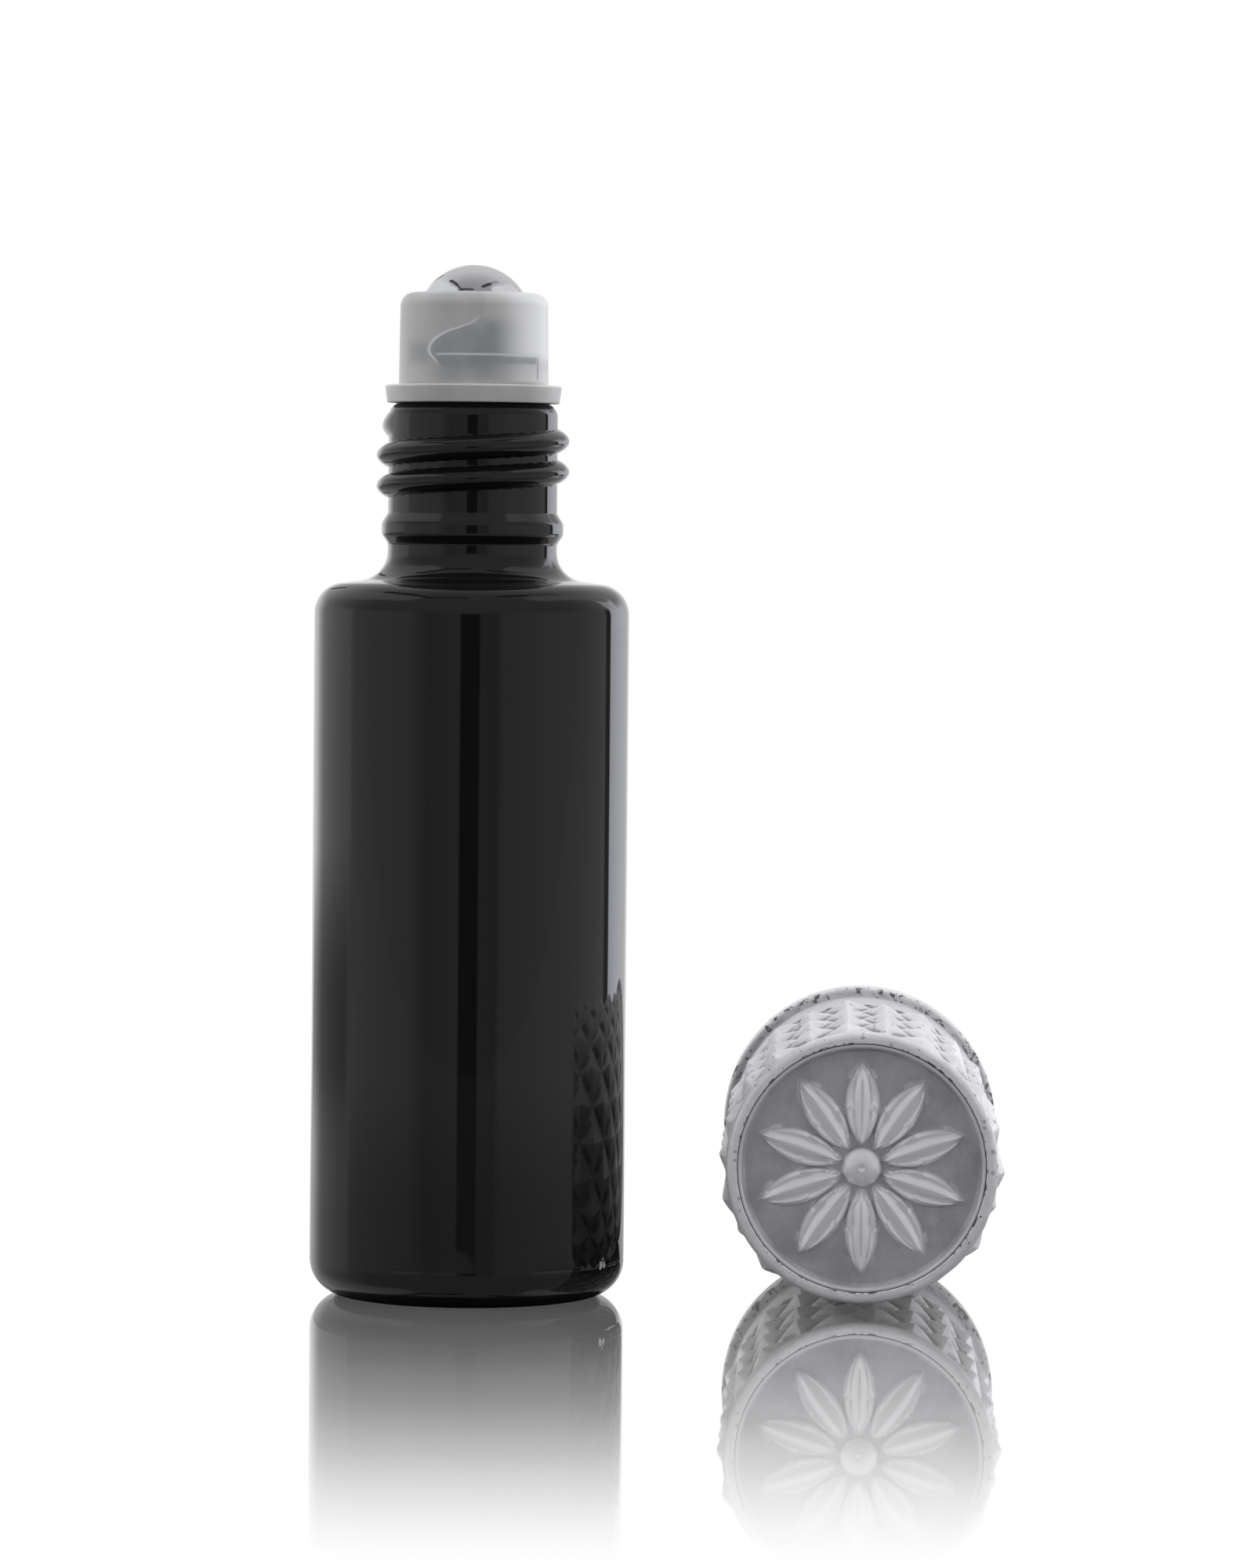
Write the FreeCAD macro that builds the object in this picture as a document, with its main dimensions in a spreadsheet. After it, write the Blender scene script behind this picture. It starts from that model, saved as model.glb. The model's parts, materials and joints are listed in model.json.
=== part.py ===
import FreeCAD, Part
import math
import os
import Sketcher

# Roll on bottle of about 10 ml: a lacquered glass bottle with a ball fitment in its neck,
# and the studded cast cap lying on its side beside it with its top to the front.
# Millimetres, +Z up, origin at the centre of the bottle's base.

SIZES = {
    # Glass bottle: the body is measured from the base, the neck from the top of the shoulder.
    "body_radius": 10.7,
    "shoulder_height": 48.15,
    "shoulder_rise": 0.65,
    "base_corner": 2.4,
    "shoulder_corner": 2.1,
    "foot_land": 1.25,
    "push_up": 0.5,
    "glass_wall": 1.7,
    "floor_thickness": 2.6,
    "shoulder_wall": 2.3,
    "shoulder_slope": 0.8,
    "inner_bevel": 1.0,
    "neck_radius": 5.75,
    "neck_length": 11.8,
    "neck_wall": 1.75,
    "neck_blend": 2.0,
    "blend_share": 0.9,
    "lip_corner": 0.9,
    "bead_rise": 3.3,
    "bead_width": 2.1,
    "bead_step": 0.43,
    "bead_bevel_share": 0.36,
    "bead_rounding_share": 0.35,
    "thread_depth": 0.8,
    # Roller housing: a flange on the mouth, a plug in the neck and a tower round the ball.
    "flange_lap": 0.25,
    "flange_taper": 0.16,
    "flange_thickness": 1.2,
    "tower_wall": 1.05,
    "tower_taper": 0.08,
    "tower_height": 6.25,
    "tower_corner": 0.9,
    "plug_length": 7.5,
    "plug_clearance": 0.02,
    "plug_lead": 0.9,
    "plug_lead_in": 0.35,
    "plug_wall": 0.63,
    # Roller ball: a 5/16 inch ball.
    "ball_radius": 3.97,
    "ball_clearance": 0.05,
    "ball_proud": 1.92,
    # Cap shell: walls are laid on the liner's pocket, heights run from the open end, and the studs
    # are set out from the top.
    "cap_length": 35.0,
    "band_wall": 1.23,
    "band_height": 7.3,
    "collar_step": 0.66,
    "collar_height": 2.7,
    "collar_bevel": 0.2,
    "stud_wall": 1.0,
    "stud_pairs": 11,
    "stud_depth": 0.77,
    "stud_pitch": 6.85,
    "stud_first": 2.1,
    "stud_turn": 30.7,
    "least_row_share": 0.15,
    "stud_root": 0.2,
    "stud_lap": 0.25,
    "pocket_wall": 0.5,
    "rim_wall": 0.77,
    "rim_height": 0.6,
    "rim_rounding": 0.4,
    "roof_thickness": 1.4,
    "liner_ledge": 0.93,
    # Cap medallion: a dished disc with a rosette, let into the top.
    "medallion_radius": 8.3,
    "medallion_clearance": 0.03,
    "medallion_sink": 0.05,
    "medallion_thickness": 1.9,
    "field_depth": 0.75,
    "edge_land": 0.15,
    "cove_width": 0.35,
    "petal_count": 10,
    "petal_margin": 0.55,
    "petal_half_width": 1.2,
    "petal_height": 0.5,
    "petal_draft": 30.0,
    "boss_radius": 1.3,
    "boss_height": 0.7,
    # Cap liner and sealing wad: bored over the closed neck, flange, tower and ball.
    "thread_clearance": 0.1,
    "liner_wall": 1.15,
    "liner_clearance": 0.03,
    "liner_recess": 0.3,
    "liner_roof": 1.2,
    "closed_gap": 0.7,
    "flange_headroom": 0.4,
    "tower_room": 0.4,
    "wad_thickness": 1.2,
    "wad_squeeze": 0.3,
    "wad_clearance": 0.03,
    # Where the cap lies: its top's centre, and its turn about the vertical.
    "cap_side": 26.54,
    "cap_front": 9.5,
    "cap_turn": 1.8,
}

# Heights and radii that follow from the sizes above.
DERIVED = {
    "inner_radius": "body_radius - glass_wall",
    "floor_radius": "inner_radius - inner_bevel",
    "inner_foot": "floor_thickness + inner_bevel",
    "push_up_radius": "body_radius - base_corner - foot_land",
    "shoulder_top": "shoulder_height + shoulder_rise",
    "throat_height": "shoulder_top - shoulder_wall",
    "ceiling_height": "throat_height - shoulder_slope",
    "mouth_height": "shoulder_top + neck_length",
    "neck_bore": "neck_radius - neck_wall",
    "bead_radius": "neck_radius + bead_step",
    "bead_bevel": "bead_width * bead_bevel_share",
    "bead_rounding": "bead_width * bead_rounding_share",
    "bead_foot": "shoulder_top + bead_rise - bead_width / 2",
    "bead_lower": "bead_foot + bead_bevel",
    "bead_head": "bead_foot + bead_width",
    "bead_upper": "bead_head - bead_bevel",
    "neck_fillet": "min(neck_blend; (bead_foot - shoulder_top) * blend_share)",
    "thread_crest_radius": "neck_radius + thread_depth",
    "plug_radius": "neck_bore - plug_clearance",
    "plug_tip_radius": "plug_radius - plug_lead_in",
    "plug_foot": "mouth_height - plug_length",
    "plug_shoulder": "plug_foot + plug_lead",
    "feed_bore": "plug_tip_radius - plug_wall",
    "flange_radius": "neck_radius + flange_lap",
    "flange_foot_radius": "flange_radius - flange_taper",
    "flange_top": "mouth_height + flange_thickness",
    "cage_radius": "ball_radius + ball_clearance",
    "tower_radius": "cage_radius + tower_wall",
    "tower_top_radius": "tower_radius - tower_taper",
    "tower_top": "flange_top + tower_height",
    "ball_height": "tower_top + ball_proud - ball_radius",
    "liner_bore": "thread_crest_radius + thread_clearance",
    "liner_radius": "liner_bore + liner_wall",
    "tower_bore": "tower_radius + tower_room",
    "flange_depth": "neck_length + flange_thickness - closed_gap",
    "bore_depth": "flange_depth + flange_headroom",
    "wad_depth": "flange_depth + tower_height + ball_proud - wad_squeeze",
    "liner_ceiling": "wad_depth + wad_thickness",
    "liner_top": "liner_ceiling + liner_roof",
    "wad_radius": "tower_bore - wad_clearance",
    "liner_pocket": "liner_radius + liner_clearance",
    "void_radius": "liner_pocket - liner_ledge",
    "band_radius": "liner_pocket + band_wall",
    "collar_radius": "band_radius + collar_step",
    "collar_flat": "collar_radius - collar_bevel",
    "collar_shoulder": "collar_height - collar_bevel",
    "stud_foot": "collar_height + band_height",
    "medallion_pocket": "medallion_radius + medallion_clearance",
    "rim_radius": "medallion_pocket + rim_wall",
    "stud_valley": "max(liner_pocket + stud_wall; medallion_pocket + pocket_wall)",
    "stud_tip_radius": "stud_valley + stud_depth",
    "core_radius": "stud_valley - stud_root",
    "lap_radius": "core_radius - stud_lap",
    "stud_head": "cap_length - rim_height",
    "medallion_top": "cap_length - medallion_sink",
    "medallion_foot": "medallion_top - medallion_thickness",
    "roof_height": "medallion_foot - roof_thickness",
    "edge_radius": "medallion_radius - edge_land",
    "field_radius": "edge_radius - cove_width",
    "field_height": "medallion_top - field_depth",
    "petal_end": "field_radius - petal_margin",
    "petal_half_length": "(petal_end - boss_radius) / 2",
    "petal_arc": "(petal_half_length ^ 2 + petal_half_width ^ 2) / (2 * petal_half_width)",
    "petal_middle": "boss_radius + petal_half_length",
    "petal_arc_offset": "petal_arc - petal_half_width",
    "boss_sphere": "(boss_radius ^ 2 + boss_height ^ 2) / (2 * boss_height)",
    "boss_top": "field_height + boss_height",
    "boss_centre": "boss_top - boss_sphere",
    "resting_radius": "max(collar_radius; stud_tip_radius)",
}

FULL_TURN = 360
SAME_PLACE = 1e-5

os.makedirs("parts", exist_ok=True)
doc = FreeCAD.newDocument("roll_on_bottle")
sheet = doc.addObject("Spreadsheet::Sheet", "Sizes")
for row, (name, content) in enumerate(list(SIZES.items()) + list(DERIVED.items()), 1):
    sheet.set(f"A{row}", name)
    sheet.set(f"B{row}", f"={content}" if name in DERIVED else str(content))
    sheet.setAlias(f"B{row}", name)
doc.recompute()


def size(name):
    """A size from the sheet, or zero where the outline lies on an axis."""
    return float(getattr(sheet, name)) if name else 0.0


def bind(item, setting, name):
    item.setExpression(setting, f"Sizes.{name}")


def new_body(label):
    body = doc.addObject("PartDesign::Body", label)
    body.Label = label
    return body


def new_sketch(body, name, role):
    sketch = body.newObject("Sketcher::SketchObject", name)
    plane = [item for item in body.Origin.OriginFeatures if item.Role == role][0]
    sketch.AttachmentSupport = [(plane, "")]
    sketch.MapMode = "FlatFace"
    return sketch


def pin_point(sketch, line, end, across, up):
    """Hold one point of a sketch at two sizes from the sheet; no size puts it on the axis."""
    for kind, axis, name in (("DistanceX", -2, across), ("DistanceY", -1, up)):
        if name is None:
            sketch.addConstraint(Sketcher.Constraint("PointOnObject", line, end, axis))
        else:
            index = sketch.addConstraint(Sketcher.Constraint(kind, -1, 1, line, end, size(name)))
            bind(sketch, f"Constraints[{index}]", name)


def turned(body, name, corners):
    """Turn a closed outline of straight runs about Z. Each corner is a radius and a height."""
    sketch = new_sketch(body, f"{name}_outline", "XZ_Plane")
    points = [FreeCAD.Vector(size(across), size(up), 0) for across, up in corners]
    for start, end in zip(points, points[1:] + points[:1]):
        sketch.addGeometry(Part.LineSegment(start, end))
    for line, (across, up) in enumerate(corners):
        following = (line + 1) % len(corners)
        sketch.addConstraint(Sketcher.Constraint("Coincident", line, 2, following, 1))
        pin_point(sketch, line, 1, across, up)
    turn = body.newObject("PartDesign::Revolution", f"{name}_turn")
    turn.Profile = sketch
    turn.ReferenceAxis = (sketch, ["V_Axis"])
    turn.Angle = FULL_TURN
    return turn


def rounded(body, name, radius_name, rings):
    """Round the circular edges that lie at the given radii and heights."""
    doc.recompute()
    base = body.Tip
    places = [(size(across), size(up)) for across, up in rings]
    edges = []
    for index, edge in enumerate(base.Shape.Edges, 1):
        if not isinstance(edge.Curve, Part.Circle):
            continue
        for radius, height in places:
            apart = abs(edge.Curve.Radius - radius) + abs(edge.Curve.Center.z - height)
            if apart < SAME_PLACE:
                edges.append(f"Edge{index}")
    fillet = body.newObject("PartDesign::Fillet", name)
    fillet.Base = (base, edges)
    bind(fillet, "Radius", radius_name)


# Glass bottle: blown cylinder with a soft shoulder, a transfer bead under the screw neck,
# a rounded mouth and a slightly pushed-up base.
bottle = new_body("glass_bottle")
turned(bottle, "bottle", [
    (None, "push_up"),
    ("push_up_radius", None),
    ("body_radius", None),
    ("body_radius", "shoulder_height"),
    ("neck_radius", "shoulder_top"),
    ("neck_radius", "bead_foot"),
    ("bead_radius", "bead_lower"),
    ("bead_radius", "bead_upper"),
    ("neck_radius", "bead_head"),
    ("neck_radius", "mouth_height"),
    ("neck_bore", "mouth_height"),
    ("neck_bore", "throat_height"),
    ("inner_radius", "ceiling_height"),
    ("inner_radius", "inner_foot"),
    ("floor_radius", "floor_thickness"),
    (None, "floor_thickness"),
])
rounded(bottle, "base_round", "base_corner", [("body_radius", None)])
rounded(bottle, "shoulder_round", "shoulder_corner", [("body_radius", "shoulder_height")])
rounded(bottle, "neck_round", "neck_fillet", [("neck_radius", "shoulder_top")])
rounded(bottle, "bead_round", "bead_rounding", [
    ("bead_radius", "bead_lower"),
    ("bead_radius", "bead_upper"),
])
rounded(bottle, "lip_round", "lip_corner", [("neck_radius", "mouth_height")])

# Roller housing: the plug seats in the neck bore, the flange on the mouth, and the ball snaps
# past the lip into a round cage over the feed bore.
housing = new_body("roller_housing")
turned(housing, "housing", [
    ("feed_bore", "plug_foot"),
    ("plug_tip_radius", "plug_foot"),
    ("plug_radius", "plug_shoulder"),
    ("plug_radius", "mouth_height"),
    ("flange_foot_radius", "mouth_height"),
    ("flange_radius", "flange_top"),
    ("tower_radius", "flange_top"),
    ("tower_top_radius", "tower_top"),
    ("feed_bore", "tower_top"),
])
rounded(housing, "tower_round", "tower_corner", [("tower_top_radius", "tower_top")])
cage = new_sketch(housing, "cage_outline", "XZ_Plane")
cage_centre = FreeCAD.Vector(0, size("ball_height"), 0)
cage_circle = Part.Circle(cage_centre, FreeCAD.Vector(0, 0, 1), size("cage_radius"))
cage.addGeometry(Part.ArcOfCircle(cage_circle, -math.pi / 2, math.pi / 2))
cage_reach = FreeCAD.Vector(0, size("cage_radius"), 0)
cage.addGeometry(Part.LineSegment(cage_centre + cage_reach, cage_centre - cage_reach))
cage.addConstraint(Sketcher.Constraint("Coincident", 0, 2, 1, 1))
cage.addConstraint(Sketcher.Constraint("Coincident", 1, 2, 0, 1))
cage.addConstraint(Sketcher.Constraint("PointOnObject", 1, 1, -2))
cage.addConstraint(Sketcher.Constraint("PointOnObject", 1, 2, -2))
pin_point(cage, 0, 3, None, "ball_height")
cage_size = cage.addConstraint(Sketcher.Constraint("Radius", 0, size("cage_radius")))
bind(cage, f"Constraints[{cage_size}]", "cage_radius")
cage_cut = housing.newObject("PartDesign::Groove", "cage_cut")
cage_cut.Profile = cage
cage_cut.ReferenceAxis = (cage, ["V_Axis"])
cage_cut.Angle = FULL_TURN

# Roller ball: polished steel, running in the cage.
ball = doc.addObject("Part::Sphere", "roller_ball")
ball.Label = "roller_ball"
bind(ball, "Radius", "ball_radius")
bind(ball, "Placement.Base.z", "ball_height")

# Cap core: the plain turned form of the casting, with the liner's pocket, the hollow above it,
# the roof and the medallion's pocket inside the rim.
core = new_body("cap_core")
turned(core, "core", [
    ("liner_pocket", None),
    ("collar_flat", None),
    ("collar_radius", "collar_bevel"),
    ("collar_radius", "collar_shoulder"),
    ("collar_flat", "collar_height"),
    ("band_radius", "collar_height"),
    ("band_radius", "stud_foot"),
    ("core_radius", "stud_foot"),
    ("core_radius", "stud_head"),
    ("rim_radius", "stud_head"),
    ("rim_radius", "cap_length"),
    ("medallion_pocket", "cap_length"),
    ("medallion_pocket", "medallion_foot"),
    (None, "medallion_foot"),
    (None, "roof_height"),
    ("void_radius", "roof_height"),
    ("void_radius", "liner_top"),
    ("liner_pocket", "liner_top"),
])
rounded(core, "rim_round", "rim_rounding", [("rim_radius", "cap_length")])


def stud_rows():
    """Rows of the stud grid from the rim down, each a height and two radii for alternate columns.

    The tips of one row stand over the valleys of the next, half a pitch on. The first row lies on
    the rim's circle, and the last cuts the pattern off at the plain band.
    """
    tip, valley = size("stud_tip_radius"), size("stud_valley")
    half_pitch = size("stud_pitch") / 2
    first = size("cap_length") - size("stud_first")
    run = first - size("stud_foot")
    last = math.floor(run / half_pitch - size("least_row_share"))
    rows = [(size("stud_head"), (size("rim_radius"), size("rim_radius")))]
    for step in range(last + 1):
        radii = (tip, valley) if step % 2 == 0 else (valley, tip)
        rows.append((first - step * half_pitch, radii))
    cut_share = (run - last * half_pitch) / half_pitch
    falling = tip - size("stud_depth") * cut_share
    rising = valley + size("stud_depth") * cut_share
    radii = (falling, rising) if last % 2 == 0 else (rising, falling)
    rows.append((size("stud_foot"), radii))
    return rows


def stud_block():
    """Closed block of flat facets: four-sided pyramids set edge to edge round the cap."""
    columns = 2 * int(size("stud_pairs"))
    rings = []
    for height, radii in stud_rows():
        ring = []
        for column in range(columns):
            angle = math.radians(size("stud_turn") + FULL_TURN * column / columns)
            radius = radii[column % 2]
            ring.append(FreeCAD.Vector(radius * math.cos(angle), radius * math.sin(angle), height))
        rings.append(ring)
    outlines = [rings[0], rings[-1]]
    for row in range(len(rings) - 1):
        for column in range(columns):
            following = (column + 1) % columns
            upper, upper_next = rings[row][column], rings[row][following]
            lower, lower_next = rings[row + 1][column], rings[row + 1][following]
            if (row + column) % 2:
                outlines += [[upper, lower, upper_next], [lower_next, upper_next, lower]]
            else:
                outlines += [[upper_next, upper, lower_next], [lower, lower_next, upper]]
    faces = [Part.Face(Part.makePolygon(outline + outline[:1])) for outline in outlines]
    shell = Part.makeShell(faces)
    shell.sewShape()
    block = Part.makeSolid(shell)
    if block.Volume < 0:
        block.reverse()
    return block


# Cap shell: the core with a ring of studs cast on between the rim and the plain band.
studs = doc.addObject("Part::Feature", "stud_block")
studs.Shape = stud_block()
stud_bore = doc.addObject("Part::Cylinder", "stud_bore")
bind(stud_bore, "Radius", "lap_radius")
bind(stud_bore, "Height", "cap_length")
stud_ring = doc.addObject("Part::Cut", "stud_ring")
stud_ring.Base = studs
stud_ring.Tool = stud_bore
shell = doc.addObject("Part::Fuse", "cap_shell")
shell.Label = "cap_shell"
shell.Base = core
shell.Tool = stud_ring

# Cap medallion: a dished disc with a raised edge, a plain field and a ring of petals round a boss.
medallion = new_body("cap_medallion")
turned(medallion, "medallion", [
    (None, "medallion_foot"),
    ("medallion_radius", "medallion_foot"),
    ("medallion_radius", "medallion_top"),
    ("edge_radius", "medallion_top"),
    ("field_radius", "field_height"),
    (None, "field_height"),
])
boss = new_sketch(medallion, "boss_outline", "XZ_Plane")
boss_foot = FreeCAD.Vector(0, size("field_height"), 0)
boss_side = FreeCAD.Vector(size("boss_radius"), size("field_height"), 0)
boss_top = FreeCAD.Vector(0, size("boss_top"), 0)
boss_middle = FreeCAD.Vector(0, size("boss_centre"), 0)
boss_circle = Part.Circle(boss_middle, FreeCAD.Vector(0, 0, 1), size("boss_sphere"))
boss_start = math.atan2(size("field_height") - size("boss_centre"), size("boss_radius"))
boss.addGeometry(Part.ArcOfCircle(boss_circle, boss_start, math.pi / 2))
boss.addGeometry(Part.LineSegment(boss_top, boss_foot))
boss.addGeometry(Part.LineSegment(boss_foot, boss_side))
boss.addConstraint(Sketcher.Constraint("Coincident", 0, 2, 1, 1))
boss.addConstraint(Sketcher.Constraint("Coincident", 1, 2, 2, 1))
boss.addConstraint(Sketcher.Constraint("Coincident", 2, 2, 0, 1))
pin_point(boss, 1, 1, None, "boss_top")
pin_point(boss, 1, 2, None, "field_height")
pin_point(boss, 2, 2, "boss_radius", "field_height")
boss.addConstraint(Sketcher.Constraint("PointOnObject", 0, 3, -2))
boss_turn = medallion.newObject("PartDesign::Revolution", "boss_turn")
boss_turn.Profile = boss
boss_turn.ReferenceAxis = (boss, ["V_Axis"])
boss_turn.Angle = FULL_TURN
petal = new_sketch(medallion, "petal_outline", "XY_Plane")
bind(petal, "AttachmentOffset.Base.z", "field_height")
petal_spread = math.asin(size("petal_half_length") / size("petal_arc"))
for side in (1, -1):
    arc_centre = FreeCAD.Vector(size("petal_middle"), -side * size("petal_arc_offset"), 0)
    arc_circle = Part.Circle(arc_centre, FreeCAD.Vector(0, 0, 1), size("petal_arc"))
    middle = side * math.pi / 2
    petal.addGeometry(Part.ArcOfCircle(arc_circle, middle - petal_spread, middle + petal_spread))
petal.addConstraint(Sketcher.Constraint("Coincident", 0, 1, 1, 2))
petal.addConstraint(Sketcher.Constraint("Coincident", 0, 2, 1, 1))
pin_point(petal, 0, 1, "petal_end", None)
pin_point(petal, 0, 2, "boss_radius", None)
for arc in (0, 1):
    index = petal.addConstraint(Sketcher.Constraint("Radius", arc, size("petal_arc")))
    bind(petal, f"Constraints[{index}]", "petal_arc")
petal_pad = medallion.newObject("PartDesign::Pad", "petal_pad")
petal_pad.Profile = petal
bind(petal_pad, "Length", "petal_height")
petal_pad.setExpression("TaperAngle", "-Sizes.petal_draft")
petal_ring = medallion.newObject("PartDesign::PolarPattern", "petal_ring")
petal_ring.Originals = [petal_pad]
petal_ring.Axis = (petal, ["N_Axis"])
petal_ring.Angle = FULL_TURN
bind(petal_ring, "Occurrences", "petal_count")
medallion.Tip = petal_ring

# Cap liner: a threaded inner cap, wide over the neck and narrow over the tower, closed at the top.
liner = new_body("cap_liner")
turned(liner, "liner", [
    ("liner_bore", "liner_recess"),
    ("liner_radius", "liner_recess"),
    ("liner_radius", "liner_top"),
    (None, "liner_top"),
    (None, "liner_ceiling"),
    ("tower_bore", "liner_ceiling"),
    ("tower_bore", "bore_depth"),
    ("liner_bore", "bore_depth"),
])

# Sealing wad: a foam disc under the liner's ceiling, pressed on the ball when the cap is on.
wad = doc.addObject("Part::Cylinder", "sealing_wad")
wad.Label = "sealing_wad"
bind(wad, "Radius", "wad_radius")
bind(wad, "Height", "wad_thickness")
wad_seat = FreeCAD.Vector(0, 0, size("wad_depth"))

# The cap lies on its collar with its top towards the front, turned a little to the right.
doc.recompute()
upright = FreeCAD.Vector(0, 0, 1)
lying = FreeCAD.Rotation(upright, FreeCAD.Vector(0, -1, 0))
turn = FreeCAD.Rotation(upright, -size("cap_turn")) * lying
top_centre = FreeCAD.Vector(size("cap_side"), -size("cap_front"), size("resting_radius"))
mouth_centre = top_centre - turn.multVec(upright * size("cap_length"))
laid = FreeCAD.Placement(mouth_centre, turn)
for piece in (shell, medallion, liner):
    piece.Placement = laid
wad.Placement = FreeCAD.Placement(mouth_centre + turn.multVec(wad_seat), turn)
doc.recompute()

pieces = [bottle, housing, ball, shell, medallion, liner, wad]
for item in doc.Objects:
    if "Invalid" in item.State or "Error" in item.State:
        raise RuntimeError(f"{item.Name} failed: {item.State}")
for piece in pieces:
    if piece.Shape.isNull() or not piece.Shape.isValid():
        raise RuntimeError(f"{piece.Label} has no valid shape")
for piece in pieces:
    piece.Shape.exportStep(f"parts/{piece.Label}.step")
    box = piece.Shape.BoundBox
    print(f"{piece.Label}: {len(piece.Shape.Solids)} solid, {piece.Shape.Volume:.2f} mm3,"
          f" {box.XLength:.2f} x {box.YLength:.2f} x {box.ZLength:.2f} mm")
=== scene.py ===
import json
import math

import bpy
from mathutils import Matrix, Vector, noise


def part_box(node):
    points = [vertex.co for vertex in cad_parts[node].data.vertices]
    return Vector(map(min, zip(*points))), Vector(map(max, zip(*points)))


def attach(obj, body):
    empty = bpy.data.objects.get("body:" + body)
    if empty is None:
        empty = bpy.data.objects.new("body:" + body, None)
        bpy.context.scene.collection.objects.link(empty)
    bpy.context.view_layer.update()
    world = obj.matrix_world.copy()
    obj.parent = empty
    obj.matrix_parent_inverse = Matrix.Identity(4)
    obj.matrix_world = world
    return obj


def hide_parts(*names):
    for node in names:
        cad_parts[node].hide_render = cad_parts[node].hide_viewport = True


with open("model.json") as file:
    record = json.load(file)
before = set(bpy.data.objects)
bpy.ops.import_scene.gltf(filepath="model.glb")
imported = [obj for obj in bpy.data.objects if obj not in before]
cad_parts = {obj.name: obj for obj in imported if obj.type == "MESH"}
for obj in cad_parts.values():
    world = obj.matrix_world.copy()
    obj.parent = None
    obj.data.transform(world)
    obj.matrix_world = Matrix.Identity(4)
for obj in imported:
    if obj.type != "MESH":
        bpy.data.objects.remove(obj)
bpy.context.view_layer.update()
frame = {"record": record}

# Glass bottle: a blown glass cylinder, sprayed all over with gloss black lacquer. It has a rounded
# base and shoulder, a transfer bead, and a screw neck with two turns of round right-hand thread.
MM = 0.001
NEAR = 0.01 * MM
bottle_low, bottle_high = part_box("glass_bottle")
body_radius = bottle_high.x
mouth_height = bottle_high.z
neck_length = 11.8 * MM
neck_radius = 5.75 * MM
neck_bore = 4.0 * MM
neck_round = 2.0 * MM
mouth_round = 0.9 * MM
bore_edge_round = 0.2 * MM
shoulder_slope = 0.65 * MM
shoulder_round = 2.1 * MM
shoulder_top = mouth_height - neck_length
shoulder_height = shoulder_top - shoulder_slope
foot_round = 2.4 * MM
foot_ring = 1.25 * MM
foot_radius = body_radius - foot_round
push_up = 0.5 * MM
push_up_radius = foot_radius - foot_ring
push_up_round = 0.5 * MM
glass_wall = 1.7 * MM
inner_radius = body_radius - glass_wall
inner_round = 1.8 * MM
floor_height = 2.6 * MM
throat_drop = 2.3 * MM
throat_round = 0.6 * MM
throat_height = shoulder_top - throat_drop
ceiling_slope = 0.8 * MM
ceiling_height = throat_height - ceiling_slope
bead_lift = 3.3 * MM
bead_middle = shoulder_top + bead_lift
bead_half = 1.05 * MM
bead_rise = 0.43 * MM
bead_below = 0.42 * MM
bead_above = 0.36 * MM
bead_round = 0.62 * MM
bead_foot_round = 0.4 * MM
bead_top_round = 0.1 * MM
thread_start = 54.95 * MM
thread_pitch = 2.08 * MM
thread_rise = 0.8 * MM
thread_half = 0.8 * MM
thread_span = (-80, 745)
thread_run_out = 55
thread_fullness = 0.72
seam_height = 2.6 * MM
seam_rise = 0.02 * MM
seam_half = 0.14 * MM
seam_patches = 2.3
seam_contrast = 1.6
ARC_ROWS = 12
THREAD_ROWS = 110
BOTTLE_SEGMENTS = 240
POLE = 1e-7


def ease(value):
    """Smooth step from 0 to 1, flat at both ends."""
    value = min(max(value, 0.0), 1.0)
    return value * value * (3 - 2 * value)


def outline(corners):
    """Points of a closed outline. A corner is a radius, a height, a rounding and the number of
    rows on the straight run after it."""
    stretches = []
    for index, (across, up, rounding, _) in enumerate(corners):
        here = Vector((across, up))
        if not rounding:
            stretches.append([here])
            continue
        before = (Vector(corners[index - 1][:2]) - here).normalized()
        after = (Vector(corners[(index + 1) % len(corners)][:2]) - here).normalized()
        half = math.acos(max(-1.0, min(1.0, before.dot(after)))) / 2
        centre = here + (before + after).normalized() * rounding / math.sin(half)
        start = here + before * rounding / math.tan(half) - centre
        end = here + after * rounding / math.tan(half) - centre
        first = math.atan2(start.y, start.x)
        turn = (math.atan2(end.y, end.x) - first + math.pi) % (2 * math.pi) - math.pi
        arc = []
        for step in range(ARC_ROWS + 1):
            angle = first + turn * step / ARC_ROWS
            arc.append(centre + rounding * Vector((math.cos(angle), math.sin(angle))))
        stretches.append(arc)
    points = []
    for index, (_, _, _, rows) in enumerate(corners):
        points += stretches[index]
        start = stretches[index][-1]
        end = stretches[(index + 1) % len(corners)][0]
        points += [start.lerp(end, row / rows) for row in range(1, rows)]
    return points


def mesh_piece(name, verts, faces, marks=None, sharp=35):
    """One smooth-shaded mesh object, with a value per vertex for each mark."""
    mesh = bpy.data.meshes.new(name)
    mesh.from_pydata([tuple(vert) for vert in verts], [], faces)
    mesh.polygons.foreach_set("use_smooth", [True] * len(mesh.polygons))
    mesh.set_sharp_from_angle(angle=math.radians(sharp))
    for mark, values in (marks or {}).items():
        mesh.attributes.new(mark, "FLOAT", "POINT").data.foreach_set("value", values)
    mesh.update()
    piece = bpy.data.objects.new(name, mesh)
    bpy.context.scene.collection.objects.link(piece)
    return piece


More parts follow.
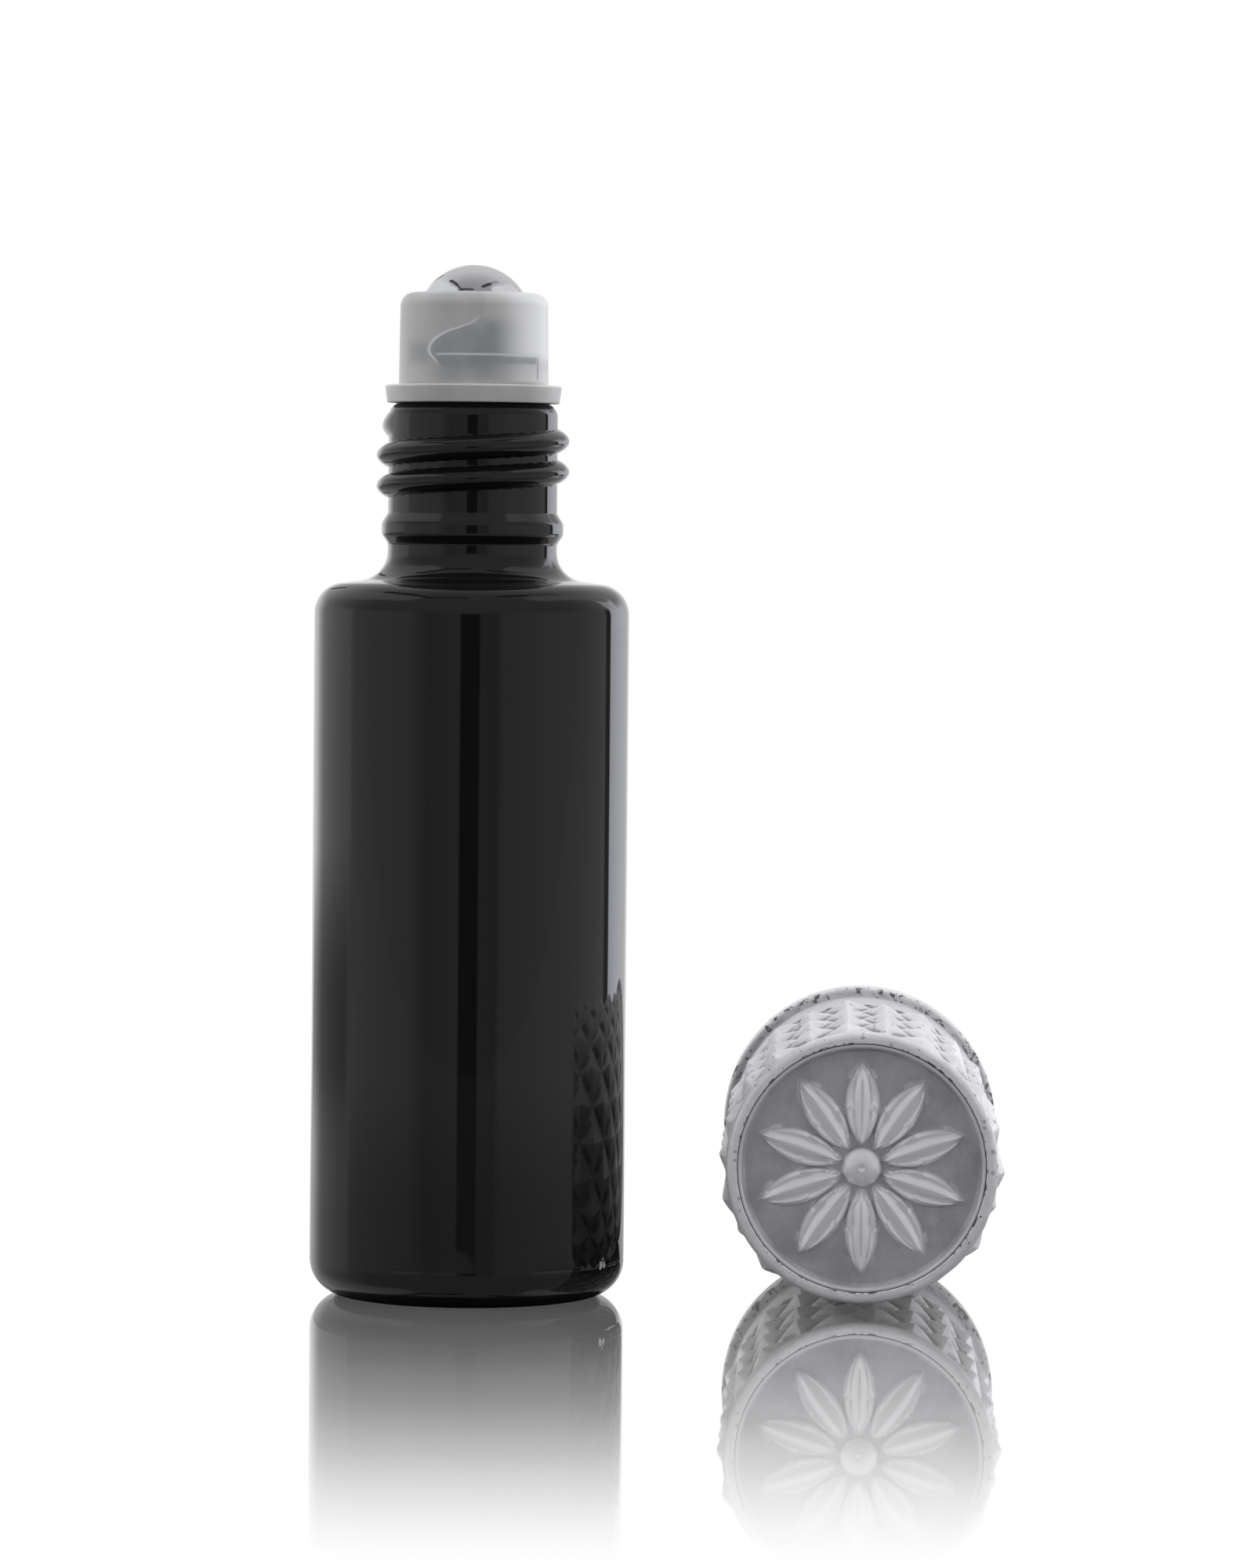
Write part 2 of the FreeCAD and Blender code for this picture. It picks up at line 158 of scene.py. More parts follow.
def turned(points, segments, shaped=None, first_angle=0.0, split=None):
    """Vertices and faces of a closed outline turned about Z. An outline that starts and ends on
    the axis closes in two poles. shaped gives the true radius and height of a point, and split
    says which way a four-sided face is cut in two."""
    verts, rings, faces = [], [], []
    for radius, height in points:
        if radius < POLE:
            rings.append([len(verts)])
            verts.append(Vector((0, 0, height)))
            continue
        ring = []
        for segment in range(segments):
            angle = first_angle + 2 * math.pi * segment / segments
            across, up = shaped(radius, height, angle) if shaped else (radius, height)
            ring.append(len(verts))
            verts.append(Vector((across * math.cos(angle), across * math.sin(angle), up)))
        rings.append(ring)
    following = rings[1:] if len(rings[0]) == 1 else rings[1:] + rings[:1]
    for row, (ring, above) in enumerate(zip(rings, following)):
        for segment in range(segments):
            onward = (segment + 1) % segments
            if len(ring) == 1:
                faces.append((ring[0], above[onward], above[segment]))
            elif len(above) == 1:
                faces.append((ring[segment], ring[onward], above[0]))
            else:
                corners = (ring[segment], ring[onward], above[onward], above[segment])
                way = split(row, segment) if split else None
                if way is None:
                    faces.append(corners)
                elif way:
                    faces += [corners[:3], (corners[2], corners[3], corners[0])]
                else:
                    faces += [(corners[1], corners[2], corners[3]), (corners[3], corners[0], corners[1])]
    return verts, faces


def bell(offset):
    """Soft hump from 0 at -1 to 1 at 0 and back to 0 at 1."""
    return 0.5 + 0.5 * math.cos(math.pi * offset) if abs(offset) < 1 else 0.0


def half_round(offset):
    """Full, round hump over the same stretch."""
    return math.cos(math.pi / 2 * offset) ** thread_fullness if abs(offset) < 1 else 0.0


def thread_hump(height, angle, start, half, span):
    """How much of the thread stands at a point: 1 on its crest, 0 off it. Its turns are counted
    in degrees from the -X side."""
    turn = (math.degrees(angle) - 180) % 360
    most = 0.0
    for lap in (-360, 0, 360, 720):
        along = turn + lap
        if span[0] <= along <= span[1]:
            grown = ease((along - span[0]) / thread_run_out) * ease((span[1] - along) / thread_run_out)
            centre = start + thread_pitch * along / 360
            most = max(most, grown * half_round((height - centre) / half))
    return most


def bottle_shape(radius, height, angle):
    """The bottle's surface: thread on the neck, mould seam on the base corner."""
    if radius > neck_radius - NEAR and height > bead_middle + bead_half:
        radius += thread_rise * thread_hump(height, angle, thread_start, thread_half, thread_span)
    offset = height - seam_height
    if radius > foot_radius and abs(offset) < seam_half:
        place = Vector((math.cos(angle), math.sin(angle), 0)) * seam_patches
        shown = ease(0.5 + seam_contrast * noise.noise(place))
        radius -= seam_rise * shown * bell(offset / seam_half)
    return radius, height


bottle_corners = [
    (0, push_up, 0, 8),
    (push_up_radius, bottle_low.z, push_up_round, 1),
    (body_radius, bottle_low.z, foot_round, 1),
    (body_radius, seam_height - seam_half, 0, 6),
    (body_radius, seam_height + seam_half, 0, 24),
    (body_radius, shoulder_height, shoulder_round, 6),
    (neck_radius, shoulder_top, neck_round, 1),
    (neck_radius, bead_middle - bead_half, bead_foot_round, 1),
    (neck_radius + bead_rise, bead_middle - bead_below, bead_round, 1),
    (neck_radius + bead_rise, bead_middle + bead_above, bead_round, 1),
    (neck_radius, bead_middle + bead_half, bead_top_round, THREAD_ROWS),
    (neck_radius, mouth_height, mouth_round, 1),
    (neck_bore, mouth_height, bore_edge_round, 4),
    (neck_bore, throat_height, throat_round, 2),
    (inner_radius, ceiling_height, inner_round, 6),
    (inner_radius, floor_height, inner_round, 4),
    (0, floor_height, 0, 1),
]
bottle_points = outline(bottle_corners)
bottle = mesh_piece("lacquered_bottle", *turned(bottle_points, BOTTLE_SEGMENTS, bottle_shape), sharp=50)


def put(tree, socket, value):
    """Give a socket a value, or link another node's output to it."""
    if isinstance(value, bpy.types.NodeSocket):
        tree.links.new(value, socket)
    else:
        socket.default_value = value


def fill(tree, made, **inputs):
    """Fill a node's inputs, named with _ for a space, with values or other nodes' outputs."""
    for name, value in inputs.items():
        put(tree, made.inputs[name.replace("_", " ")], value)


def node(tree, kind, settings=None, **inputs):
    """Add a shader node, choose its settings and fill its inputs."""
    made = tree.nodes.new("ShaderNode" + kind)
    for setting, choice in (settings or {}).items():
        setattr(made, setting, choice)
    fill(tree, made, **inputs)
    return made


def worked(tree, kind, operation, values):
    """The outputs of a node that works on values in order."""
    made = node(tree, kind, {"operation": operation})
    for socket, value in zip(made.inputs, values):
        put(tree, socket, value)
    return made.outputs


def reckon(tree, operation, *values):
    """A Math node's result."""
    return worked(tree, "Math", operation, values)[0]


def vectors(tree, operation, *values):
    """A Vector Math node's outputs."""
    return worked(tree, "VectorMath", operation, values)


def band(tree, value, low, high, to_low=0.0, to_high=1.0):
    """A smooth passage from one value to another as the input goes from low to high."""
    made = node(tree, "MapRange", {"interpolation_type": "SMOOTHSTEP"}, Value=value, From_Min=low,
                From_Max=high, To_Min=to_low, To_Max=to_high)
    return made.outputs[0]


def blend(tree, share, first, second):
    """One colour passing into another."""
    made = node(tree, "Mix", {"data_type": "RGBA"})
    for name, value in (("Factor_Float", share), ("A_Color", first), ("B_Color", second)):
        put(tree, next(item for item in made.inputs if item.identifier == name), value)
    return next(item for item in made.outputs if item.identifier == "Result_Color")


def clouds(tree, place, scale, detail, roughness=0.5):
    """A noise value that drifts over the surface."""
    made = node(tree, "TexNoise", Vector=place, Scale=scale, Detail=detail, Roughness=roughness)
    return made.outputs["Fac"]


def relief_of(tree, height, depth, strength):
    """A normal bent by fine relief of the given depth."""
    return node(tree, "Bump", Strength=strength, Distance=depth, Height=height).outputs[0]


def finish_with(name):
    """A new material, its node tree, its one Principled shader and the place on the object."""
    material = bpy.data.materials.new(name)
    material.use_nodes = True
    tree = material.node_tree
    return material, tree, tree.nodes["Principled BSDF"], node(tree, "TexCoord").outputs["Object"]


def new_group(name, inputs, outputs):
    """A shader node group with named value inputs and outputs."""
    tree = bpy.data.node_groups.new(name, "ShaderNodeTree")
    for socket, value in inputs:
        made = tree.interface.new_socket(name=socket, in_out="INPUT", socket_type="NodeSocketFloat")
        made.default_value = value
    for socket in outputs:
        tree.interface.new_socket(name=socket, in_out="OUTPUT", socket_type="NodeSocketFloat")
    return tree, tree.nodes.new("NodeGroupInput").outputs, tree.nodes.new("NodeGroupOutput")


def placed(tree, group, **inputs):
    """The outputs of a group put into a material with its own values."""
    return node(tree, "Group", {"node_tree": group}, **inputs).outputs


# Specks are dust on the lacquer, and pits and fine pores in the castings: ragged dots here and there.
speck_ragged = 0.12 * MM
speck_group, speck_values, speck_result = new_group(
    "Specks", [("Per Metre", 400.0), ("Size", 0.12), ("Share", 0.1)], ["Mask"])
speck_place = node(speck_group, "TexCoord").outputs["Object"]
speck_wobble = node(speck_group, "TexNoise", Vector=speck_place, Scale=4000.0, Detail=2.0)
speck_shift = node(speck_group, "VectorMath", {"operation": "SCALE"},
                   Vector=speck_wobble.outputs["Color"], Scale=speck_ragged)
speck_moved = vectors(speck_group, "ADD", speck_place, speck_shift.outputs[0])["Vector"]
speck_cells = node(speck_group, "TexVoronoi", Vector=speck_moved, Scale=speck_values["Per Metre"])
speck_draw = node(speck_group, "SeparateColor", Color=speck_cells.outputs["Color"]).outputs
speck_chosen = reckon(speck_group, "LESS_THAN", speck_draw["Red"], speck_values["Share"])
speck_reach = reckon(speck_group, "MULTIPLY", speck_draw["Green"], speck_values["Size"])
speck_dot = reckon(speck_group, "LESS_THAN", speck_cells.outputs["Distance"], speck_reach)
fill(speck_group, speck_result, Mask=reckon(speck_group, "MULTIPLY", speck_chosen, speck_dot))

lacquer_black = (0.0042, 0.0042, 0.0045, 1)
bare_glass = (0.42, 0.43, 0.45, 1)
gloss_roughness = 0.035
chip_roughness = 0.5
chip_angle = math.radians(329.8)
chip_height = 2.75 * MM
chip_depth = 0.03 * MM
chip_size = 1.0 * MM
chip_ragged = 1.5 * MM
dust_strength = 0.35
swell_share = 6.0
peel_depth = 0.0016 * MM
chip_out = Vector((math.cos(chip_angle), math.sin(chip_angle), 0)) * (body_radius - chip_depth)
chip_place = chip_out + Vector((0, 0, chip_height))
lacquer, tree, surface, place = finish_with("gloss_black_lacquer")
chip_edge = clouds(tree, place, scale=2600.0, detail=3.0)
chip_reach = reckon(tree, "MULTIPLY_ADD", chip_edge, -chip_ragged, chip_size)
chip = reckon(tree, "LESS_THAN", vectors(tree, "DISTANCE", place, chip_place)["Value"], chip_reach)
dust = placed(tree, speck_group, Per_Metre=330.0, Size=0.045, Share=0.1)["Mask"]
marked = reckon(tree, "MAXIMUM", chip, reckon(tree, "MULTIPLY", dust, dust_strength))
stretched = node(tree, "Mapping", Vector=place, Scale=(60.0, 60.0, 900.0)).outputs[0]
ripple = clouds(tree, stretched, scale=1.0, detail=2.0)
swell = clouds(tree, place, scale=170.0, detail=1.0)
waves = reckon(tree, "MULTIPLY_ADD", swell, swell_share, ripple)
fill(tree, surface, Base_Color=blend(tree, marked, lacquer_black, bare_glass),
     Roughness=band(tree, marked, 0.0, 1.0, gloss_roughness, chip_roughness),
     Normal=relief_of(tree, waves, peel_depth, strength=0.5), IOR=1.5)
bottle.data.materials.append(lacquer)
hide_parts("glass_bottle")
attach(bottle, "bottle")

# Roller housing: a milky polyethylene fitment, moulded in one piece. Its plug sits in the neck, its
# flange on the mouth, and its lip is sprung over the ball. A flow line crosses its front.
housing_low, housing_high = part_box("roller_housing")
flange_radius = housing_high.x
flange_height = 1.2 * MM
flange_top = mouth_height + flange_height
flange_taper = 0.16 * MM
flange_round = 0.12 * MM
flange_foot_round = 0.1 * MM
tower_radius = 5.07 * MM
tower_top = housing_high.z
tower_taper = 0.08 * MM
tower_round = 0.9 * MM
tower_foot_round = 0.08 * MM
lip_round = 0.06 * MM
plug_room = 0.02 * MM
plug_radius = neck_bore - plug_room
plug_lead = 0.35 * MM
plug_lead_height = 0.9 * MM
plug_round = 0.3 * MM
plug_tip_round = 0.1 * MM
feed_bore = 3.0 * MM
ball_low, ball_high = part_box("roller_ball")
ball_radius = (ball_high.z - ball_low.z) / 2
ball_height = (ball_high.z + ball_low.z) / 2
ball_room = 0.05 * MM
cage_radius = ball_radius + ball_room
HOUSING_SEGMENTS = 180
CAGE_ROWS = 20


def cage_points():
    """The round cage from its lip down to the feed bore."""
    top = math.asin((tower_top - ball_height) / cage_radius)
    foot = -math.acos(feed_bore / cage_radius)
    points = []
    for row in range(CAGE_ROWS + 1):
        angle = top + (foot - top) * row / CAGE_ROWS
        points.append((cage_radius * math.cos(angle), ball_height + cage_radius * math.sin(angle)))
    return points


cage = cage_points()
housing_corners = [
    (feed_bore, housing_low.z, 0, 1),
    (plug_radius - plug_lead, housing_low.z, plug_tip_round, 1),
    (plug_radius, housing_low.z + plug_lead_height, plug_round, 1),
    (plug_radius, mouth_height, 0, 1),
    (flange_radius - flange_taper, mouth_height, flange_foot_round, 1),
    (flange_radius, flange_top, flange_round, 1),
    (tower_radius, flange_top, tower_foot_round, 20),
    (tower_radius - tower_taper, tower_top, tower_round, 1),
    (*cage[0], lip_round, 1),
]
housing_corners += [(across, up, 0, 1) for across, up in cage[1:]]
housing = mesh_piece("milky_housing", *turned(outline(housing_corners), HOUSING_SEGMENTS))


def curve(tree, value, low, high, points, to_low, to_high):
    """A value read off a smooth curve drawn through points, each an input and an output."""
    made = node(tree, "FloatCurve")
    scaled = [((at - low) / (high - low), (level - to_low) / (to_high - to_low)) for at, level in points]
    stops = made.mapping.curves[0].points
    for _ in scaled[2:]:
        stops.new(0.5, 0.5)
    for stop, spot in zip(stops, sorted(scaled)):
        stop.location = spot
    made.mapping.update()
    fill(tree, made, Value=reckon(tree, "MULTIPLY_ADD", value, 1 / (high - low), -low / (high - low)))
    return reckon(tree, "MULTIPLY_ADD", made.outputs[0], to_high - to_low, to_low)


def product(tree, *values):
    """Several values multiplied together."""
    whole = values[0]
    for value in values[1:]:
        whole = reckon(tree, "MULTIPLY", whole, value)
    return whole


def stripe(tree, value, middle, core, reach):
    """1 within core of the middle, fading to 0 at reach."""
    offset = reckon(tree, "ABSOLUTE", reckon(tree, "SUBTRACT", value, middle))
    return band(tree, offset, core, reach, 1.0, 0.0)


# Places on the housing's front are in millimetres, across from the axis and up from the table. Most tones
# on the front are painted light and painted shade, laid on the front only: a lighter left edge, a painted
# backlight on the right, painted shade and light beside the flow line, and painted shade under the seat
# and the lip, at the top, low down and at the flow line's bend. A tone starts, ends or weakens between the
# two numbers of a pair. A half is where it starts to fade on either side of its middle, and where it is
# gone.
# A painted light: the front's left edge and the side above the flow line are painted in this lighter grey.
painted_light_grey = (0.47, 0.47, 0.46, 1)
milky_grey = (0.39, 0.39, 0.385, 1)
# The grey of painted shade on the front: beside the flow line, under the seat and the lip, at the top, low
# down and at the flow line's bend.
painted_shade_grey = (0.27, 0.278, 0.295, 1)
# A lighter tone, used both for the painted backlight on the front's right side and for the random milky
# haze.
backlight_and_haze_white = (0.76, 0.765, 0.78, 1)
plain_milk = (0.50, 0.505, 0.51, 1)
flange_grey = (0.40, 0.392, 0.386, 1)
flange_lit_grey = (0.54, 0.54, 0.545, 1)
line_white = (0.60, 0.62, 0.63, 1)
crack_black = (0.03, 0.03, 0.03, 1)
front_ends = (-1.5 * MM, 0.5 * MM)
left_ends = (-4.7, -2.2)
flow_up = (63.0, 68.05)
flow_across = (-3.0, 1.0)
flow_path = [(63.0, -2.2), (63.45, -2.54), (64.05, -2.92), (64.5, -2.8), (65.15, -2.05), (65.65, -0.75),
             (66.1, 0.2), (66.75, 0.68), (68.05, 0.7)]
flow_width = [(63.0, 0.16), (63.7, 0.12), (64.5, 0.14), (65.15, 0.24), (65.65, 0.26), (66.1, 0.2),
              (66.75, 0.1), (68.05, 0.1)]
flow_widest = 0.5
flow_soft_shares = (0.3, 1.15)
flow_starts = (62.9, 63.6)
flow_ends = (65.5, 66.6)
flow_strength = 0.85
flow_shade_edge = (-0.1, 0.35)
flow_shade_starts = (62.4, 63.3)
flow_shade_ends = (65.3, 66.7)
flow_light_edge = (-0.1, 0.3)
flow_light_starts = (65.8, 66.8)
flow_light_strength = 0.6
seat_up = 63.8
seat_half = (0.02, 0.13)
seat_starts = (-2.7, -2.2)
seat_weakens = (2.4, 4.4)
seat_strengths = (0.7, 0.2)
seat_shade_up = 63.42
seat_shade_half = (0.14, 0.34)
seat_shade_starts = (-2.4, -1.6)
seat_shade_ends = (4.2, 4.4)
seat_shade_strength = 0.75
lip_shade_up = 67.78
lip_shade_half = (0.06, 0.25)
lip_shade_starts = (-3.4, -2.6)
lip_shade_ends = (0.5, 0.8)
lip_shade_strength = 0.6
top_shade_starts = (67.2, 68.0)
top_shade_weakens = (0.5, 1.6)
top_shade_strengths = (0.65, 0.3)
low_shade_up = 62.6
low_shade_half = (0.3, 0.9)
low_shade_across = 0.0
low_shade_width = (1.5, 3.6)
low_shade_strength = 0.5
bend_shade_up = 63.9
bend_shade_half = (0.2, 1.2)
bend_shade_across = -3.5
bend_shade_width = (0.3, 1.4)
bend_shade_strength = 0.6
right_starts = (1.2, 4.2)
right_foot = (62.9, 64.2)
right_foot_strength = 0.5
right_top = (66.4, 68.0)
right_top_strength = 0.75
crack_across = 4.37
crack_half = (0.015, 0.06)
crack_starts = (62.0, 62.3)
crack_ends = (63.5, 63.8)
crack_strength = 0.55
flange_sides = (3.6, 5.6)
flange_ends = (61.85, 62.1)
haze_span = (0.3, 0.75)
mist_strength = 0.14
polyethylene, tree, surface, place = finish_with("milky_polyethylene")
haze = clouds(tree, place, scale=420.0, detail=3.0)
parts = node(tree, "SeparateXYZ", Vector=place).outputs
side = reckon(tree, "DIVIDE", parts["X"], MM)
height = reckon(tree, "DIVIDE", parts["Z"], MM)
front = band(tree, parts["Y"], *front_ends, 1.0, 0.0)
flow_offset = reckon(tree, "SUBTRACT", side, curve(tree, height, *flow_up, flow_path, *flow_across))
flow_half = curve(tree, height, *flow_up, flow_width, 0.0, flow_widest)
flow_nearness = reckon(tree, "DIVIDE", reckon(tree, "ABSOLUTE", flow_offset), flow_half)
flow_line = product(tree, band(tree, flow_nearness, *flow_soft_shares, 1.0, 0.0),
                    band(tree, height, *flow_starts), band(tree, height, *flow_ends, flow_strength, 0.0))
# Painted shade on the right of the flow line, along its lower half.
flow_shade = product(tree, band(tree, flow_offset, *flow_shade_edge), band(tree, height, *flow_shade_starts),
                     band(tree, height, *flow_shade_ends, 1.0, 0.0))
# Painted light on the right of the flow line, near its top.
flow_light = product(tree, band(tree, flow_offset, *flow_light_edge), band(tree, height, *flow_light_starts),
                     flow_light_strength)
seat_line = product(tree, stripe(tree, height, seat_up, *seat_half), band(tree, side, *seat_starts),
                    band(tree, side, *seat_weakens, *seat_strengths))
seat_shade = product(tree, stripe(tree, height, seat_shade_up, *seat_shade_half),
                     band(tree, side, *seat_shade_starts),
                     band(tree, side, *seat_shade_ends, seat_shade_strength, 0.0))
lip_shade = product(tree, stripe(tree, height, lip_shade_up, *lip_shade_half),
                    band(tree, side, *lip_shade_starts),
                    band(tree, side, *lip_shade_ends, lip_shade_strength, 0.0))
top_shade = product(tree, band(tree, height, *top_shade_starts),
                    band(tree, side, *top_shade_weakens, *top_shade_strengths))
low_shade = product(tree, stripe(tree, height, low_shade_up, *low_shade_half),
                    stripe(tree, side, low_shade_across, *low_shade_width), low_shade_strength)
bend_shade = product(tree, stripe(tree, height, bend_shade_up, *bend_shade_half),
                     stripe(tree, side, bend_shade_across, *bend_shade_width), bend_shade_strength)
# Painted backlight: the front's right side is painted lighter, weaker at its foot and less so at the top.
painted_backlight = product(tree, band(tree, side, *right_starts),
                      band(tree, height, *right_foot, right_foot_strength, 1.0),
                      band(tree, height, *right_top, 1.0, right_top_strength))
crack = product(tree, stripe(tree, side, crack_across, *crack_half), band(tree, height, *crack_starts),
                band(tree, height, *crack_ends, crack_strength, 0.0))
shade = reckon(tree, "MAXIMUM", seat_shade, reckon(tree, "MAXIMUM", lip_shade, top_shade))
# The front's left edge is painted lighter, as painted light.
tone = blend(tree, band(tree, side, *left_ends), painted_light_grey, milky_grey)
for share, colour in ((flow_shade, painted_shade_grey), (flow_light, painted_light_grey), (low_shade, painted_shade_grey),
                      (bend_shade, painted_shade_grey), (painted_backlight, backlight_and_haze_white), (shade, painted_shade_grey),
                      (reckon(tree, "MAXIMUM", flow_line, seat_line), line_white), (crack, crack_black)):
    tone = blend(tree, share, tone, colour)
# Only the front carries the painted light and shade; the back is plain milk.
tone = blend(tree, front, plain_milk, tone)
# Painted light: the flange's left and right ends are painted lighter.
flange_lit_share = band(tree, reckon(tree, "ABSOLUTE", side), *flange_sides)
flange_tone = blend(tree, flange_lit_share, flange_grey, flange_lit_grey)
tone = blend(tree, band(tree, height, *flange_ends), flange_tone, tone)
mist = band(tree, haze, *haze_span, 0.0, mist_strength)
fill(tree, surface, Base_Color=blend(tree, mist, tone, backlight_and_haze_white), Subsurface_Weight=1.0,
     Subsurface_Radius=(1.0, 1.0, 1.0), Subsurface_Scale=0.35 * MM, Roughness=0.42, IOR=1.51)
housing.data.materials.append(polyethylene)
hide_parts("roller_housing")
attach(housing, "bottle")

# Roller ball: a ground and polished steel ball of 5/16 inch, loose in the cage, with the hair
# scratches that rolling leaves.
steel_light = (0.74, 0.745, 0.75, 1)
steel_dark = (0.66, 0.665, 0.67, 1)
hair_span = (0.45, 0.75)
steel_roughness = (0.05, 0.16)
BALL_GRID = 40


def ball_mesh():
    """A ball whose faces are spread evenly: the six sides of a cube, blown up round."""
    verts, faces, seen = [], [], {}
    for axis in range(3):
        for end in (-1, 1):
            grid = []
            for row in range(BALL_GRID + 1):
                line = []
                for column in range(BALL_GRID + 1):
                    point = [0.0, 0.0, 0.0]
                    point[axis] = end
                    point[(axis + 1) % 3] = end * math.tan(math.pi / 4 * (2 * column / BALL_GRID - 1))
                    point[(axis + 2) % 3] = math.tan(math.pi / 4 * (2 * row / BALL_GRID - 1))
                    place = Vector(point).normalized() * ball_radius
                    key = tuple(round(part, 9) for part in place)
                    if key not in seen:
                        seen[key] = len(verts)
                        verts.append(place + Vector((0, 0, ball_height)))
                    line.append(seen[key])
                grid.append(line)
            for row in range(BALL_GRID):
                for column in range(BALL_GRID):
                    faces.append((grid[row][column], grid[row][column + 1],
                                  grid[row + 1][column + 1], grid[row + 1][column]))
    return verts, faces


ball = mesh_piece("polished_ball", *ball_mesh())
steel, tree, surface, place = finish_with("polished_steel")
long_way = node(tree, "Mapping", Vector=place, Scale=(300.0, 3000.0, 900.0), Rotation=(0.4, 0.7, 0.2))
hairs = clouds(tree, long_way.outputs[0], scale=1.0, detail=4.0)
fill(tree, surface, Base_Color=blend(tree, hairs, steel_light, steel_dark),
     Roughness=band(tree, hairs, *hair_span, *steel_roughness), Metallic=1.0)
ball.data.materials.append(steel)
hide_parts("roller_ball")
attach(ball, "ball")

# Cap liner: a white polypropylene inner cap, pressed into the casting. Its bore carries the thread
# that screws on the neck, and above it a narrower well leaves room for the roller.
cap_mount = next(mount for mount in frame["record"]["mounts"] if mount["name"] == "cap_mouth")
cap_out = Vector(cap_mount["axis"])
liner_recess = 0.3 * MM
liner_bore = cap_mount["dims"]["r_mm"] * MM
bore_length = cap_mount["dims"]["length_mm"] * MM
cap_up = Vector((0, 0, 1))
cap_side = cap_up.cross(-cap_out)
cap_mouth = Vector(cap_mount["pos_m"]) + cap_out * (bore_length / 2 + liner_recess)
cap_lie = Matrix.Translation(cap_mouth) @ Matrix((cap_side, cap_up, -cap_out)).transposed().to_4x4()
liner_wall = 1.15 * MM
liner_radius = liner_bore + liner_wall
well_room = 0.4 * MM
well_radius = tower_radius + well_room
well_foot = liner_recess + bore_length
liner_ceiling = 21.37 * MM
liner_roof = 1.2 * MM
liner_top = liner_ceiling + liner_roof
liner_round = 0.3 * MM
liner_step_round = 0.2 * MM
liner_mouth_round = 0.25 * MM
liner_thread_start = 3.2 * MM
liner_thread_half = 0.62 * MM
liner_thread_rise = 0.55 * MM
liner_thread_span = (0, 560)
liner_white = (0.80, 0.80, 0.78, 1)
liner_shaded = (0.72, 0.72, 0.70, 1)
cloud_span = (0.3, 0.7)
liner_roughness = (0.28, 0.42)
liner_relief = 0.02 * MM
LINER_SEGMENTS = 180


def liner_shape(radius, height, angle):
    """The liner's bore with its thread standing inward."""
    if abs(radius - liner_bore) < NEAR and height < well_foot:
        radius -= liner_thread_rise * thread_hump(
            height, -angle, liner_thread_start, liner_thread_half, liner_thread_span)
    return radius, height


liner_corners = [
    (0, liner_ceiling, 0, 4),
    (well_radius, liner_ceiling, liner_round, 4),
    (well_radius, well_foot, liner_step_round, 1),
    (liner_bore, well_foot, liner_step_round, 90),
    (liner_bore, liner_recess, liner_mouth_round, 1),
    (liner_radius, liner_recess, liner_step_round, 4),
    (liner_radius, liner_top, liner_round, 3),
    (0, liner_top, 0, 1),
]
verts, faces = turned(outline(liner_corners), LINER_SEGMENTS, liner_shape)
liner = mesh_piece("threaded_liner", [cap_lie @ vert for vert in verts], faces)
polypropylene, tree, surface, place = finish_with("white_polypropylene")
cloud = clouds(tree, place, scale=500.0, detail=3.0)
fill(tree, surface, Base_Color=blend(tree, cloud, liner_white, liner_shaded),
     Roughness=band(tree, cloud, *cloud_span, *liner_roughness),
     Normal=relief_of(tree, cloud, liner_relief, strength=0.3))
liner.data.materials.append(polypropylene)
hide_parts("cap_liner")
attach(liner, "cap")

# Sealing wad: a disc of white closed-cell foam under the liner's ceiling. It presses the ball on its
# seat when the cap is on, so its middle holds a shallow dent.
wad_room = 0.03 * MM
wad_radius = well_radius - wad_room
wad_thickness = 1.2 * MM
wad_foot = liner_ceiling - wad_thickness
wad_round = 0.25 * MM
wad_top_round = 0.05 * MM
wad_dent = 0.25 * MM
wad_dent_radius = 1.6 * MM
wad_first_ring = 0.1 * MM
foam_white = (0.83, 0.83, 0.81, 1)
foam_shaded = (0.62, 0.62, 0.60, 1)
cell_span = (0.0, 0.6)
foam_relief = 0.05 * MM
WAD_SEGMENTS = 120


def wad_shape(radius, height, angle):
    """The wad's lower face, dented by the ball."""
    if height < wad_foot + NEAR and radius < wad_dent_radius:
        height += wad_dent * ease(1 - radius / wad_dent_radius)
    return radius, height


wad_corners = [
    (0, wad_foot + wad_dent, 0, 1),
    (wad_first_ring, wad_foot, 0, 24),
    (wad_radius, wad_foot, wad_round, 3),
    (wad_radius, liner_ceiling, wad_top_round, 4),
    (0, liner_ceiling, 0, 1),
]
verts, faces = turned(outline(wad_corners), WAD_SEGMENTS, wad_shape)
wad = mesh_piece("foam_wad", [cap_lie @ vert for vert in verts], faces)
foam, tree, surface, place = finish_with("white_foam")
cells = node(tree, "TexVoronoi", Vector=place, Scale=7000.0).outputs["Distance"]
fill(tree, surface, Base_Color=blend(tree, band(tree, cells, *cell_span), foam_white, foam_shaded),
     Normal=relief_of(tree, cells, foam_relief, strength=0.6), Roughness=0.85)
wad.data.materials.append(foam)
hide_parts("sealing_wad")
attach(wad, "cap")

